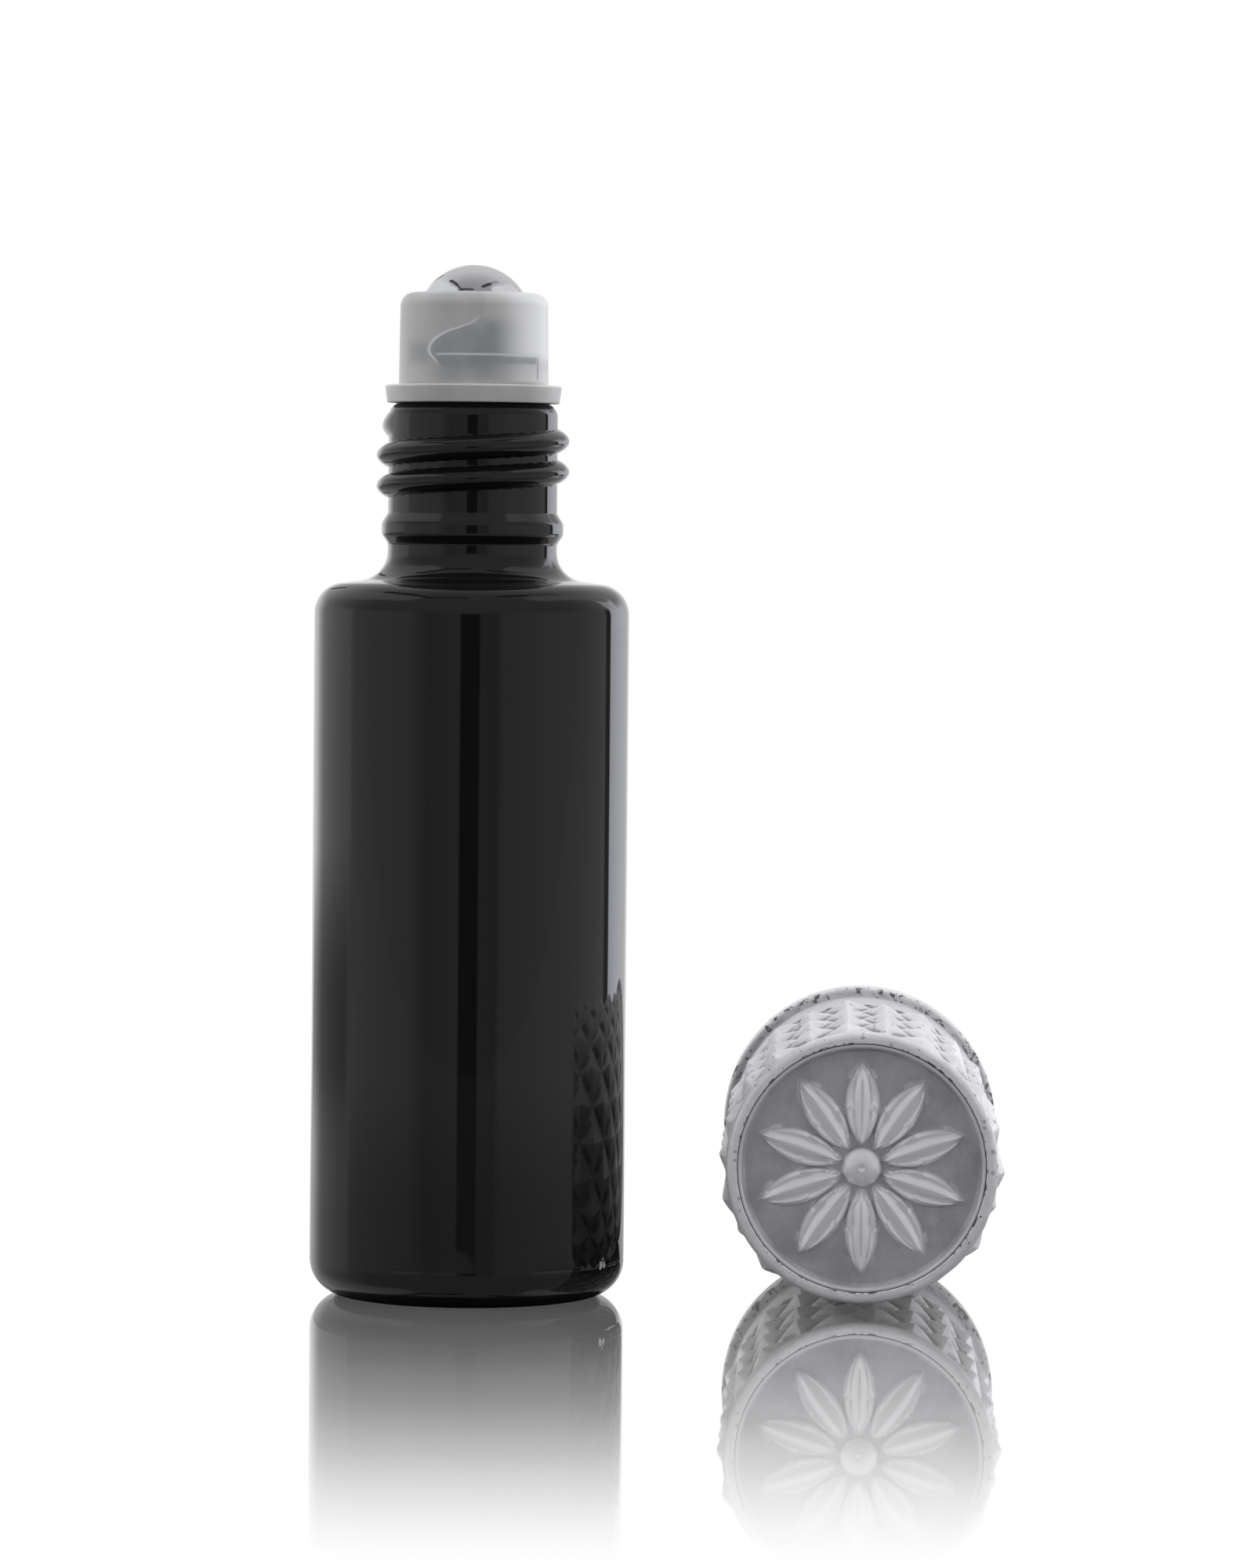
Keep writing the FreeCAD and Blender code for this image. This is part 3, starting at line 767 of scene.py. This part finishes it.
# Cap shell: a hollow zinc alloy casting, silver plated and left matte. Rows of pyramid studs stand
# edge to edge between the rim and a plain band, and a collar thickens the open end.
cap_length = 35.0 * MM
collar_radius = cap_mouth.z
collar_height = 2.7 * MM
collar_round = 0.3 * MM
collar_foot_round = 0.15 * MM
mouth_edge_round = 0.1 * MM
band_radius = 9.06 * MM
band_height = 7.3 * MM
stud_foot = collar_height + band_height
stud_tip = 9.6 * MM
stud_depth = 1.0 * MM
stud_valley = stud_tip - stud_depth
stud_pairs = 11
stud_pitch = 6.85 * MM
stud_half_pitch = stud_pitch / 2
first_tip_drop = 2.1 * MM
stud_first = cap_length - first_tip_drop
stud_turn = math.radians(30.7)
stud_soft_share = 0.03
stud_blend = 0.22 * MM
rim_radius = 9.1 * MM
rim_height = 0.6 * MM
rim_foot = cap_length - rim_height
rim_round = 0.45 * MM
pocket_radius = 8.33 * MM
pocket_depth = 1.95 * MM
pocket_floor = cap_length - pocket_depth
pocket_edge_round = 0.1 * MM
outside_radius = pocket_radius + 0.2 * MM
roof_thickness = 1.4 * MM
roof_height = pocket_floor - roof_thickness
liner_room = 0.03 * MM
liner_pocket = liner_radius + liner_room
void_radius = 6.9 * MM
void_round = 0.4 * MM
cast_wander = 0.022 * MM
cast_coarse = 0.8
cast_fine = 2.1
cast_fine_share = 0.6
STUD_GRID = 16
ROW_CLEAR_SHARE = 0.2
CAP_SEGMENTS = 2 * stud_pairs * STUD_GRID


def stud_offset(height, angle):
    """How far a point lies from the nearest tip, round the cap and down it, in half pitches."""
    column = (angle - stud_turn) / (math.pi / stud_pairs)
    row = (stud_first - height) / stud_half_pitch
    offsets = []
    for across in (math.floor(column), math.floor(column) + 1):
        for down in (math.floor(row), math.floor(row) + 1):
            if (across + down) % 2 == 0:
                offsets.append((abs(column - across), row - down))
    return min(offsets, key=lambda offset: offset[0] + abs(offset[1]))


def stud_rise(height, angle):
    """How far up its pyramid a point lies: 1 on a tip, 0 in a valley."""
    reach = sum(math.hypot(part, stud_soft_share) - stud_soft_share for part in stud_offset(height, angle))
    return max(0.0, 1 - reach)


def wander(radius, height, angle, amount):
    """The small unevenness of the casting."""
    place = Vector((radius * math.cos(angle), radius * math.sin(angle), height)) / MM
    return amount * (noise.noise(place * cast_coarse) + cast_fine_share * noise.noise(place * cast_fine))


def shell_shape(radius, height, angle):
    """The casting's surface, with the studs drawn out of the plain form."""
    outside = radius > outside_radius
    if outside and stud_foot < height < rim_foot:
        cast = stud_valley + stud_depth * stud_rise(height, angle)
        to_rim = ease((rim_foot - height) / stud_blend)
        to_band = ease((height - stud_foot) / stud_blend)
        cast = rim_radius + (cast - rim_radius) * to_rim
        radius = band_radius + (cast - band_radius) * to_band
    if outside and height > collar_height:
        radius += wander(radius, height, angle, cast_wander)
        height += wander(radius, height, angle + 0.5, cast_wander) if height < cap_length else 0.0
    return radius, height


row_height = stud_half_pitch / STUD_GRID
first_row = math.ceil((stud_foot - stud_first) / row_height + ROW_CLEAR_SHARE)
last_row = math.floor((rim_foot - stud_first) / row_height - ROW_CLEAR_SHARE)
stud_heights = [stud_first + row * row_height for row in range(first_row, last_row + 1)]
shell_corners = [
    (0, roof_height, 0, 1),
    (void_radius, roof_height, void_round, 1),
    (void_radius, liner_top, 0, 1),
    (liner_pocket, liner_top, 0, 1),
    (liner_pocket, 0, mouth_edge_round, 2),
    (collar_radius, 0, collar_round, 6),
    (collar_radius, collar_height, collar_round, 1),
    (band_radius, collar_height, collar_foot_round, 16),
    (band_radius, stud_foot, 0, 1),
]
shell_corners += [(stud_valley, height, 0, 1) for height in stud_heights]
shell_corners += [
    (rim_radius, rim_foot, 0, 1),
    (rim_radius, cap_length, rim_round, 2),
    (pocket_radius, cap_length, pocket_edge_round, 2),
    (pocket_radius, pocket_floor, 0, 2),
    (0, pocket_floor, 0, 1),
]
shell_points = outline(shell_corners)
first_stud_row = next(index for index, point in enumerate(shell_points)
                      if abs(point[1] - stud_heights[0]) < POLE and abs(point[0] - stud_valley) < POLE)


def stud_split(row, segment):
    """Cut the faces of the stud grid along the valleys."""
    grid_row = row - first_stud_row
    if not 0 <= grid_row < len(stud_heights) - 1:
        return None
    down = math.floor((first_row + grid_row) / STUD_GRID)
    across = segment // STUD_GRID
    return (across + down) % 2 == 1


# Marks on the casting: how deep a point lies, which darkens the recesses and the band as patina and as
# painted shade; painted shade in the valleys on the flanks of the studs towards the cap's top; the ridges,
# lighter as wear and as painted highlight; and the seam and the collar's edge, where stains gather.
band_recess = 0.8
valley_shade_starts_share = 0.58
valley_shade_soft_share = 0.14
valley_shade_middle_share = 0.36
valley_shade_contrast = 2.4
valley_shade_cut = 0.4
ridge_shine = 0.4
ridge_half_share = 0.1
seam_stain = 0.2 * MM
collar_stain = 0.55 * MM
collar_edge = band_radius + 0.1 * MM
verts, faces = turned(shell_points, CAP_SEGMENTS, shell_shape, stud_turn, stud_split)
recess, valley_shade, ridges, edges = [], [], [], []
for vert in verts:
    radius = math.hypot(vert.x, vert.y)
    outside = radius > outside_radius
    deep, valley_dark, ridge = 0.0, 0.0, 0.0
    if outside and stud_foot < vert.z < rim_foot:
        around, down = stud_offset(vert.z, math.atan2(vert.y, vert.x))
        deep = min(1.0, around + abs(down))
        # Painted shade on the flanks that face the cap's top, darkest low in the valley.
        if down < 0:
            lens = valley_shade_contrast * bell((around - valley_shade_middle_share) / valley_shade_middle_share) - valley_shade_cut
            valley_dark = ease((deep - valley_shade_starts_share) / valley_shade_soft_share) * ease(lens)
        ridge = ridge_shine * ease(1 - min(around, abs(down)) / ridge_half_share)
    elif outside and collar_height < vert.z <= stud_foot:
        deep = band_recess
    recess.append(deep)
    valley_shade.append(valley_dark)
    ridges.append(ridge)
    seam = bell((radius - pocket_radius) / seam_stain) if vert.z > pocket_floor else 0.0
    at_collar = bell((vert.z - collar_height) / collar_stain) if radius > collar_edge else 0.0
    edges.append(max(seam, at_collar))
shell = mesh_piece("studded_shell", [cap_lie @ vert for vert in verts], faces,
                   {"recess": recess, "valley_shade": valley_shade, "ridges": ridges, "edges": edges}, sharp=14)


def mark_on(tree, name):
    """The value of a mesh's mark on the surface."""
    return node(tree, "Attribute", {"attribute_name": name}).outputs["Fac"]


silver_light = (0.84, 0.84, 0.85, 1)
silver_worn = (0.74, 0.74, 0.755, 1)
silver_ridge = (0.94, 0.94, 0.945, 1)
silver_recess = (0.64, 0.64, 0.66, 1)
valley_shade_grey = (0.2, 0.2, 0.21, 1)
pit_black = (0.05, 0.05, 0.055, 1)
worn_span = (0.35, 0.68)
recess_span = (0.2, 1.0)
blot_span = (0.54, 0.62)
edge_span = (0.35, 0.7)
mottle_span = (0.3, 0.7)
cast_roughness = (0.46, 0.6)
valley_shade_strength = 0.75
stain_strength = 0.85
pore_strength = 0.4
pit_relief = -1.5
mottle_relief = 2.0
cast_relief = 0.03 * MM
cast_silver, tree, surface, place = finish_with("cast_silver")
mottle = clouds(tree, place, scale=700.0, detail=5.0, roughness=0.65)
grain = clouds(tree, place, scale=5200.0, detail=3.0)
blots = clouds(tree, place, scale=1700.0, detail=3.0, roughness=0.6)
pits = placed(tree, speck_group, Per_Metre=900.0, Size=0.2, Share=0.1)["Mask"]
pores = placed(tree, speck_group, Per_Metre=3200.0, Size=0.55, Share=0.14)["Mask"]
stain = product(tree, band(tree, blots, *blot_span), band(tree, mark_on(tree, "edges"), *edge_span),
                stain_strength)
dark = reckon(tree, "MAXIMUM", pits, stain)
dark = reckon(tree, "MAXIMUM", dark, reckon(tree, "MULTIPLY", pores, pore_strength))
tone = blend(tree, band(tree, mottle, *worn_span), silver_light, silver_worn)
# The recesses and the band are darker: partly patina, partly painted shade.
tone = blend(tree, band(tree, mark_on(tree, "recess"), *recess_span), tone, silver_recess)
# The ridges are lighter: partly wear, partly painted highlight.
tone = blend(tree, mark_on(tree, "ridges"), tone, silver_ridge)
# Painted shade in the stud valleys.
tone = blend(tree, reckon(tree, "MULTIPLY", mark_on(tree, "valley_shade"), valley_shade_strength), tone, valley_shade_grey)
height = reckon(tree, "MULTIPLY_ADD", dark, pit_relief, grain)
height = reckon(tree, "MULTIPLY_ADD", mottle, mottle_relief, height)
fill(tree, surface, Base_Color=blend(tree, dark, tone, pit_black), Metallic=0.6,
     Roughness=band(tree, mottle, *mottle_span, *cast_roughness),
     Normal=relief_of(tree, height, cast_relief, strength=0.55))
shell.data.materials.append(cast_silver)
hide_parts("cap_shell")
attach(shell, "cap")

# Cap medallion: a struck disc of plated zinc alloy, let into the rim and cemented. Its field is a
# satin ground sunk below a raised edge, with a rosette of ten ribbed petals round a dimpled boss.
medallion_room = 0.03 * MM
medallion_radius = pocket_radius - medallion_room
medallion_drop = 0.05 * MM
medallion_top = cap_length - medallion_drop
medallion_thickness = 1.9 * MM
medallion_foot = medallion_top - medallion_thickness
edge_width = 0.15 * MM
edge_radius = medallion_radius - edge_width
edge_chamfer = 0.08 * MM
edge_fall = 0.1 * MM
edge_shine = 0.22
field_radius = 7.8 * MM
field_depth = 0.75 * MM
field_height = medallion_top - field_depth
petal_count = 10
petal_start = 1.3 * MM
petal_end = 7.25 * MM
petal_half_width = 1.2 * MM
petal_height = 0.5 * MM
petal_flank = 0.32 * MM
petal_tip = 0.35 * MM
petal_body_share = 0.8
rib_share = 0.28
rib_width_share = 0.3
groove_share = 0.35
groove_middle_share = 0.5
groove_half_share = 0.2
boss_radius = 1.3 * MM
boss_height = 0.7 * MM
dimple_radius = 0.28 * MM
dimple_depth = 0.12 * MM
PETAL_SHARES = (0.0, 0.12, 0.3, 0.5, 0.7, 0.86, 1.0)
FIELD_SHARES = (0.3, 0.65, 1.0)
SECTOR_SHARES = (0.25, 0.85)
DIMPLE_RINGS = 4
RING_STEP = 0.1 * MM


def petal_width(radius):
    """Half the width of a petal at a distance from the centre: the lens between two arcs."""
    half_length = (petal_end - petal_start) / 2
    along = radius - (petal_start + petal_end) / 2
    if abs(along) >= half_length:
        return 0.0
    arc_radius = (half_length ** 2 + petal_half_width ** 2) / (2 * petal_half_width)
    return math.sqrt(arc_radius ** 2 - along ** 2) - (arc_radius - petal_half_width)


def medallion_height(radius, across):
    """Height of the disc's face at a radius and a distance from the nearest petal's midline."""
    if radius > field_radius:
        share = (radius - field_radius) / (edge_radius - field_radius)
        return field_height + (medallion_top - field_height) * ease(share)
    height = field_height
    half = petal_width(radius)
    if half > 0:
        share = abs(across) / half
        if share < 1:
            crown = ease((1 - share) * half / petal_flank)
            rib = rib_share * ease(1 - share / rib_width_share)
            groove = groove_share * bell((share - groove_middle_share) / groove_half_share)
            height += petal_height * (crown * (petal_body_share - groove) + rib) * ease(half / petal_tip)
    if radius < boss_radius:
        dome = math.sqrt(max(0.0, 1 - (radius / boss_radius) ** 2))
        height = max(height, field_height + boss_height * dome)
        height -= dimple_depth * ease(1 - radius / dimple_radius)
    return height


def medallion_mesh():
    """The disc's face as rings whose points follow the petals' outlines, closed by a plain back."""
    sector = math.pi / petal_count
    radii = [dimple_radius * step / DIMPLE_RINGS for step in range(1, DIMPLE_RINGS + 1)]
    while radii[-1] + RING_STEP < medallion_radius:
        radii.append(radii[-1] + RING_STEP)
    radii += [field_radius, edge_radius, medallion_radius - edge_chamfer]
    radii = sorted(set(radii))
    verts = [Vector((0, 0, medallion_height(0.0, 0.0)))]
    relief = [1.0]
    rings = []
    for radius in radii:
        half = min(petal_width(radius) / radius, SECTOR_SHARES[1] * sector)
        half = max(half, SECTOR_SHARES[0] * sector)
        steps = [half * share for share in PETAL_SHARES]
        steps += [half + (sector - half) * share for share in FIELD_SHARES]
        ring = []
        for petal in range(petal_count):
            middle = math.pi / 2 + 2 * sector * petal
            for turn in [-step for step in steps[:0:-1]] + steps[:-1]:
                height = medallion_height(radius, radius * turn)
                angle = middle + turn
                ring.append(len(verts))
                verts.append(Vector((radius * math.cos(angle), radius * math.sin(angle), height)))
                raised = (height - field_height) / petal_height
                if radius > field_radius:
                    raised *= edge_shine
                relief.append(min(1.0, max(0.0, raised)))
        rings.append(ring)
    count = len(rings[0])
    rim = []
    for height in (medallion_top - edge_fall, medallion_foot):
        rim.append([])
        for index in range(count):
            face = verts[rings[-1][index]]
            spread = Vector((face.x, face.y)).normalized() * medallion_radius
            rim[-1].append(len(verts))
            verts.append(Vector((spread.x, spread.y, height)))
            relief.append(0.0)
    rings += rim
    faces = [(0, rings[0][index], rings[0][(index + 1) % count]) for index in range(count)]
    for inner, outer in zip(rings, rings[1:]):
        for index in range(count):
            onward = (index + 1) % count
            faces.append((inner[index], outer[index], outer[onward], inner[onward]))
    back = len(verts)
    verts.append(Vector((0, 0, medallion_foot)))
    relief.append(0.0)
    faces += [(back, rings[-1][(index + 1) % count], rings[-1][index]) for index in range(count)]
    return verts, faces, relief


verts, faces, relief = medallion_mesh()
medallion = mesh_piece("rosette_medallion", [cap_lie @ vert for vert in verts], faces, {"relief": relief},
                       sharp=50)
field_grey = (0.66, 0.665, 0.69, 1)
field_worn = (0.47, 0.475, 0.50, 1)
relief_silver = (0.92, 0.92, 0.93, 1)
field_worn_span = (0.35, 0.7)
relief_span = (0.05, 0.5)
satin_roughness = (0.27, 0.4)
satin_relief = 0.02 * MM
satin_silver, tree, surface, place = finish_with("satin_silver")
mottle = clouds(tree, place, scale=420.0, detail=5.0, roughness=0.6)
grain = clouds(tree, place, scale=6000.0, detail=2.0)
pits = placed(tree, speck_group, Per_Metre=700.0, Size=0.12, Share=0.07)["Mask"]
ground = blend(tree, band(tree, mottle, *field_worn_span), field_grey, field_worn)
tone = blend(tree, band(tree, mark_on(tree, "relief"), *relief_span), ground, relief_silver)
height = reckon(tree, "SUBTRACT", grain, pits)
fill(tree, surface, Base_Color=blend(tree, pits, tone, pit_black), Metallic=0.75,
     Roughness=band(tree, mottle, *mottle_span, *satin_roughness),
     Normal=relief_of(tree, height, satin_relief, strength=0.35))
medallion.data.materials.append(satin_silver)
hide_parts("cap_medallion")
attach(medallion, "cap")

# Table: a broad sheet of white acrylic. Its polish mirrors the bottle and cap at their feet and fades out
# towards its front edge, and behind it runs into the white surround with no edge. What the glass and steel
# mirror of it is darker close to the bottle and in a patch behind on the left: painted shade and a painted
# dark reflection in the table's mirror tone, which the camera doesn't see.
table_side = 6.0
table_front = -0.19
table_back = 6.0
table_white = (0.85, 0.85, 0.85, 1)
white = (1, 1, 1, 1)
black = (0, 0, 0, 1)
polish_along = (-115, 0)
polish_path = [(-115, 0.0), (-105, 0.08), (-89, 0.28), (-72, 0.52), (-53, 0.73), (-42, 0.80), (-30, 0.87),
               (-10, 0.92), (0, 0.93)]
polish_share = 0.95
seen_shade = 0.1
# Grey of the painted shade close to the bottle, in what the glass and steel mirror of the table.
mirror_shade_grey = (0.58, 0.58, 0.58, 1)
mirror_shade_ends = (0.05, 0.2)
patch_bearing = -126
patch_half = (26, 37)
patch_starts = (0.07, 0.2)
patch_ends = (0.26, 0.66)
patch_strength = 0.64


def bearing_of(tree, parts):
    """Degrees round the upright axis from the front, with the right as plus."""
    front_part = reckon(tree, "MULTIPLY", parts["Y"], -1.0)
    return reckon(tree, "DEGREES", reckon(tree, "ARCTAN2", parts["X"], front_part))


def mixed(tree, share, first, second):
    """One shader passing into another."""
    made = node(tree, "MixShader")
    for socket, value in zip(made.inputs, (share, first, second)):
        tree.links.new(value, socket)
    return made.outputs[0]


table_corners = [(-table_side, table_front, 0), (table_side, table_front, 0),
                 (table_side, table_back, 0), (-table_side, table_back, 0)]
table = mesh_piece("table", table_corners, [(0, 1, 2, 3)])
acrylic, tree, surface, place = finish_with("white_acrylic")
spot = node(tree, "SeparateXYZ", Vector=place).outputs
paths = node(tree, "LightPath").outputs
seen = reckon(tree, "MAXIMUM", paths["Is Camera Ray"], paths["Is Transmission Ray"])
mirrored = reckon(tree, "SUBTRACT", 1.0, seen)
along = reckon(tree, "DIVIDE", spot["Y"], MM)
faded = curve(tree, along, *polish_along, polish_path, 0.0, 1.0)
polish = reckon(tree, "MULTIPLY_ADD", seen, reckon(tree, "SUBTRACT", faded, polish_share), polish_share)
distance = vectors(tree, "LENGTH", place)["Value"]
sheen = reckon(tree, "MAXIMUM", seen, band(tree, distance, *mirror_shade_ends))
mirror_shade_patch = product(tree, stripe(tree, bearing_of(tree, spot), patch_bearing, *patch_half),
                band(tree, distance, *patch_starts, 0.0, patch_strength),
                band(tree, distance, *patch_ends, 1.0, 0.0), mirrored)
# The mirror tone carries painted shade close to the bottle and a painted dark reflection in the patch
# behind on the left.
mirror_tone = blend(tree, mirror_shade_patch, blend(tree, sheen, mirror_shade_grey, white), black)
mirror = node(tree, "BsdfGlossy", Color=mirror_tone, Roughness=0.02).outputs[0]
glow = node(tree, "Emission", Color=white, Strength=1.0).outputs[0]
fill(tree, surface, Base_Color=table_white, Roughness=0.6, Specular_IOR_Level=0.0)
lit = mixed(tree, band(tree, seen, 0.0, 1.0, 1.0, seen_shade), glow, surface.outputs[0])
fill(tree, tree.nodes["Material Output"], Surface=mixed(tree, polish, lit, mirror))
table.data.materials.append(acrylic)

# Studio: a light tent, plain white to the camera. Polished pieces mirror it grey at the front with a
# dark slot for the lens, a bright bluish strip behind on the right, and dark seams between the cloths
# overhead. Where bottle and table mirror it in turn, a dark gap shows above the strip's foot.
surround = [(-180, 1.0), (-150, 1.45), (-135, 0.8), (-98, 0.86), (-94, 0.57), (-45, 0.48), (-30, 0.27),
            (-8, 0.33), (9, 0.26), (20, 0.24), (24, 0.40), (60, 0.52), (117, 0.55), (118.5, 0.1),
            (123.8, 0.1), (125.2, 2.5), (137, 2.1), (145, 1.7), (157, 1.15), (180, 1.0)]
strip_span = (125, 150)
strip_tint = (1.0, 1.02, 1.1)
plain_tint = (1.0, 1.0, 1.0)
slot_bearing = 0.5
slot_half = (6, 8)
slot_top = (0.13, 0.16)
gap_bearing = 134
gap_half = (11, 14)
gap_foot = (0.096, 0.105)
gap_strength = 0.9
over_one_mirror = 1.5
gap_dark = (0.04, 0.04, 0.042, 1)
canopy_passage = (-0.25, 0.7)
canopy_front = (0.37, 0.37, 0.39, 1)
canopy_back = (0.69, 0.69, 0.70, 1)
wall_top = (0.12, 0.32)
cloth_bright = (1.9, 1.92, 2.0, 1)
cloth_light = (0.82, 0.82, 0.83, 1)
seam_dark = (0.06, 0.06, 0.065, 1)
strips = [
    ((0.74, 0.62, 0.26), (0.66, 0.58, 0.47), 0.2, cloth_bright),
    ((-0.45, 0.80, 0.34), (-0.66, 0.20, 0.72), 0.24, cloth_light),
    ((-0.66, 0.20, 0.72), (-0.56, -0.16, 0.81), 0.20, cloth_light),
    ((0.55, -0.10, 0.83), (0.62, 0.60, 0.50), 0.18, cloth_light),
    ((-0.243, 0.939, 0.243), (-0.292, 0.854, 0.43), 0.026, seam_dark),
    ((-0.461, 0.339, 0.82), (-0.42, 0.03, 0.907), 0.05, seam_dark),
    ((-0.42, 0.03, 0.907), (-0.343, -0.303, 0.889), 0.04, seam_dark),
    ((-0.34, -0.277, 0.899), (-0.05, -0.361, 0.931), 0.06, seam_dark),
    ((0.23, -0.199, 0.953), (0.362, 0.021, 0.932), 0.065, seam_dark),
    ((0.355, 0.052, 0.933), (0.457, 0.308, 0.834), 0.02, seam_dark),
]
strip_core_share = 0.5
studio = bpy.data.worlds.new("studio")
bpy.context.scene.world = studio
studio.use_nodes = True
tree = studio.node_tree
way = node(tree, "TexCoord").outputs["Generated"]
heading = node(tree, "SeparateXYZ", Vector=way).outputs
paths = node(tree, "LightPath").outputs
bearing = bearing_of(tree, heading)
ramp = node(tree, "ValToRGB", Fac=reckon(tree, "MULTIPLY_ADD", bearing, 1 / 360, 0.5))
stops = ramp.color_ramp.elements
stops[0].position = 0.0
stops[1].position = 1.0
for degrees, _ in surround[1:-1]:
    stops.new(0.5 + degrees / 360)
for stop, (degrees, level) in zip(stops, surround):
    tint = strip_tint if strip_span[0] < degrees < strip_span[1] else plain_tint
    stop.color = (*(level * part for part in tint), 1)
slot = product(tree, stripe(tree, bearing, slot_bearing, *slot_half),
               band(tree, heading["Z"], *slot_top, 1.0, 0.0))
mirrored_twice = reckon(tree, "GREATER_THAN", paths["Glossy Depth"], over_one_mirror)
gap = product(tree, stripe(tree, bearing, gap_bearing, *gap_half),
              band(tree, heading["Z"], *gap_foot, 0.0, gap_strength), mirrored_twice)
walls = blend(tree, reckon(tree, "MAXIMUM", slot, gap), ramp.outputs["Color"], gap_dark)
canopy = blend(tree, band(tree, heading["Y"], *canopy_passage), canopy_front, canopy_back)
for start, end, half, colour in strips:
    run = Vector(end) - Vector(start)
    offset = vectors(tree, "SUBTRACT", way, start)["Vector"]
    along = vectors(tree, "DOT_PRODUCT", offset, run / run.length_squared)["Value"]
    share = node(tree, "Clamp", Value=along).outputs[0]
    foot = node(tree, "VectorMath", {"operation": "SCALE"}, Vector=run, Scale=share).outputs[0]
    apart = vectors(tree, "DISTANCE", offset, foot)["Value"]
    on_strip = band(tree, apart, strip_core_share * half, half, 1.0, 0.0)
    canopy = blend(tree, on_strip, canopy, colour)
tent = blend(tree, band(tree, heading["Z"], *wall_top), walls, canopy)
seen = reckon(tree, "MAXIMUM", paths["Is Camera Ray"], paths["Is Transmission Ray"])
fill(tree, tree.nodes["Background"], Color=blend(tree, seen, tent, white), Strength=1.0)


def softbox(name, place, side, radiance):
    """A square lamp that fills from one side. Polished pieces don't mirror it, only the tent."""
    lamp = bpy.data.lights.new(name, "AREA")
    lamp.size = side
    lamp.energy = radiance * math.pi * side * side
    holder = bpy.data.objects.new(name, lamp)
    holder.location = place
    holder.rotation_euler = (lamp_aim - Vector(place)).to_track_quat("-Z", "Y").to_euler()
    holder.visible_camera = False
    holder.visible_glossy = False
    bpy.context.scene.collection.objects.link(holder)


lamp_aim = Vector((0.01, 0, 0.5 * mouth_height))
softbox("fill_left", (-0.72, -0.42, 0.42), side=0.7, radiance=2.25)
softbox("fill_right", (0.76, -0.36, 0.42), side=0.7, radiance=2.45)
softbox("fill_top", (0.05, 0.1, 0.95), side=0.9, radiance=2.45)

# Camera: a long lens a little above the bottle's shoulder, tilted down to take in the table. Its
# place, tilt and roll are fitted to the photograph.
photo_height = 2000
focal_pixels = 8110
camera_place = (10.65 * MM, -432 * MM, 52.5 * MM)
tilt_down = 2.34
tilt = math.radians(90 - tilt_down)
roll = math.radians(0.52)
camera_data = bpy.data.cameras.new("camera")
camera_data.sensor_fit = "VERTICAL"
camera_data.sensor_height = 24
camera_data.lens = focal_pixels * camera_data.sensor_height / photo_height
camera_data.clip_start = 0.01
camera = bpy.data.objects.new("camera", camera_data)
camera.location = camera_place
camera.rotation_euler = (Matrix.Rotation(tilt, 3, "X") @ Matrix.Rotation(roll, 3, "Z")).to_euler()
bpy.context.scene.collection.objects.link(camera)
bpy.context.scene.camera = camera
bpy.context.scene.view_settings.view_transform = "Standard"
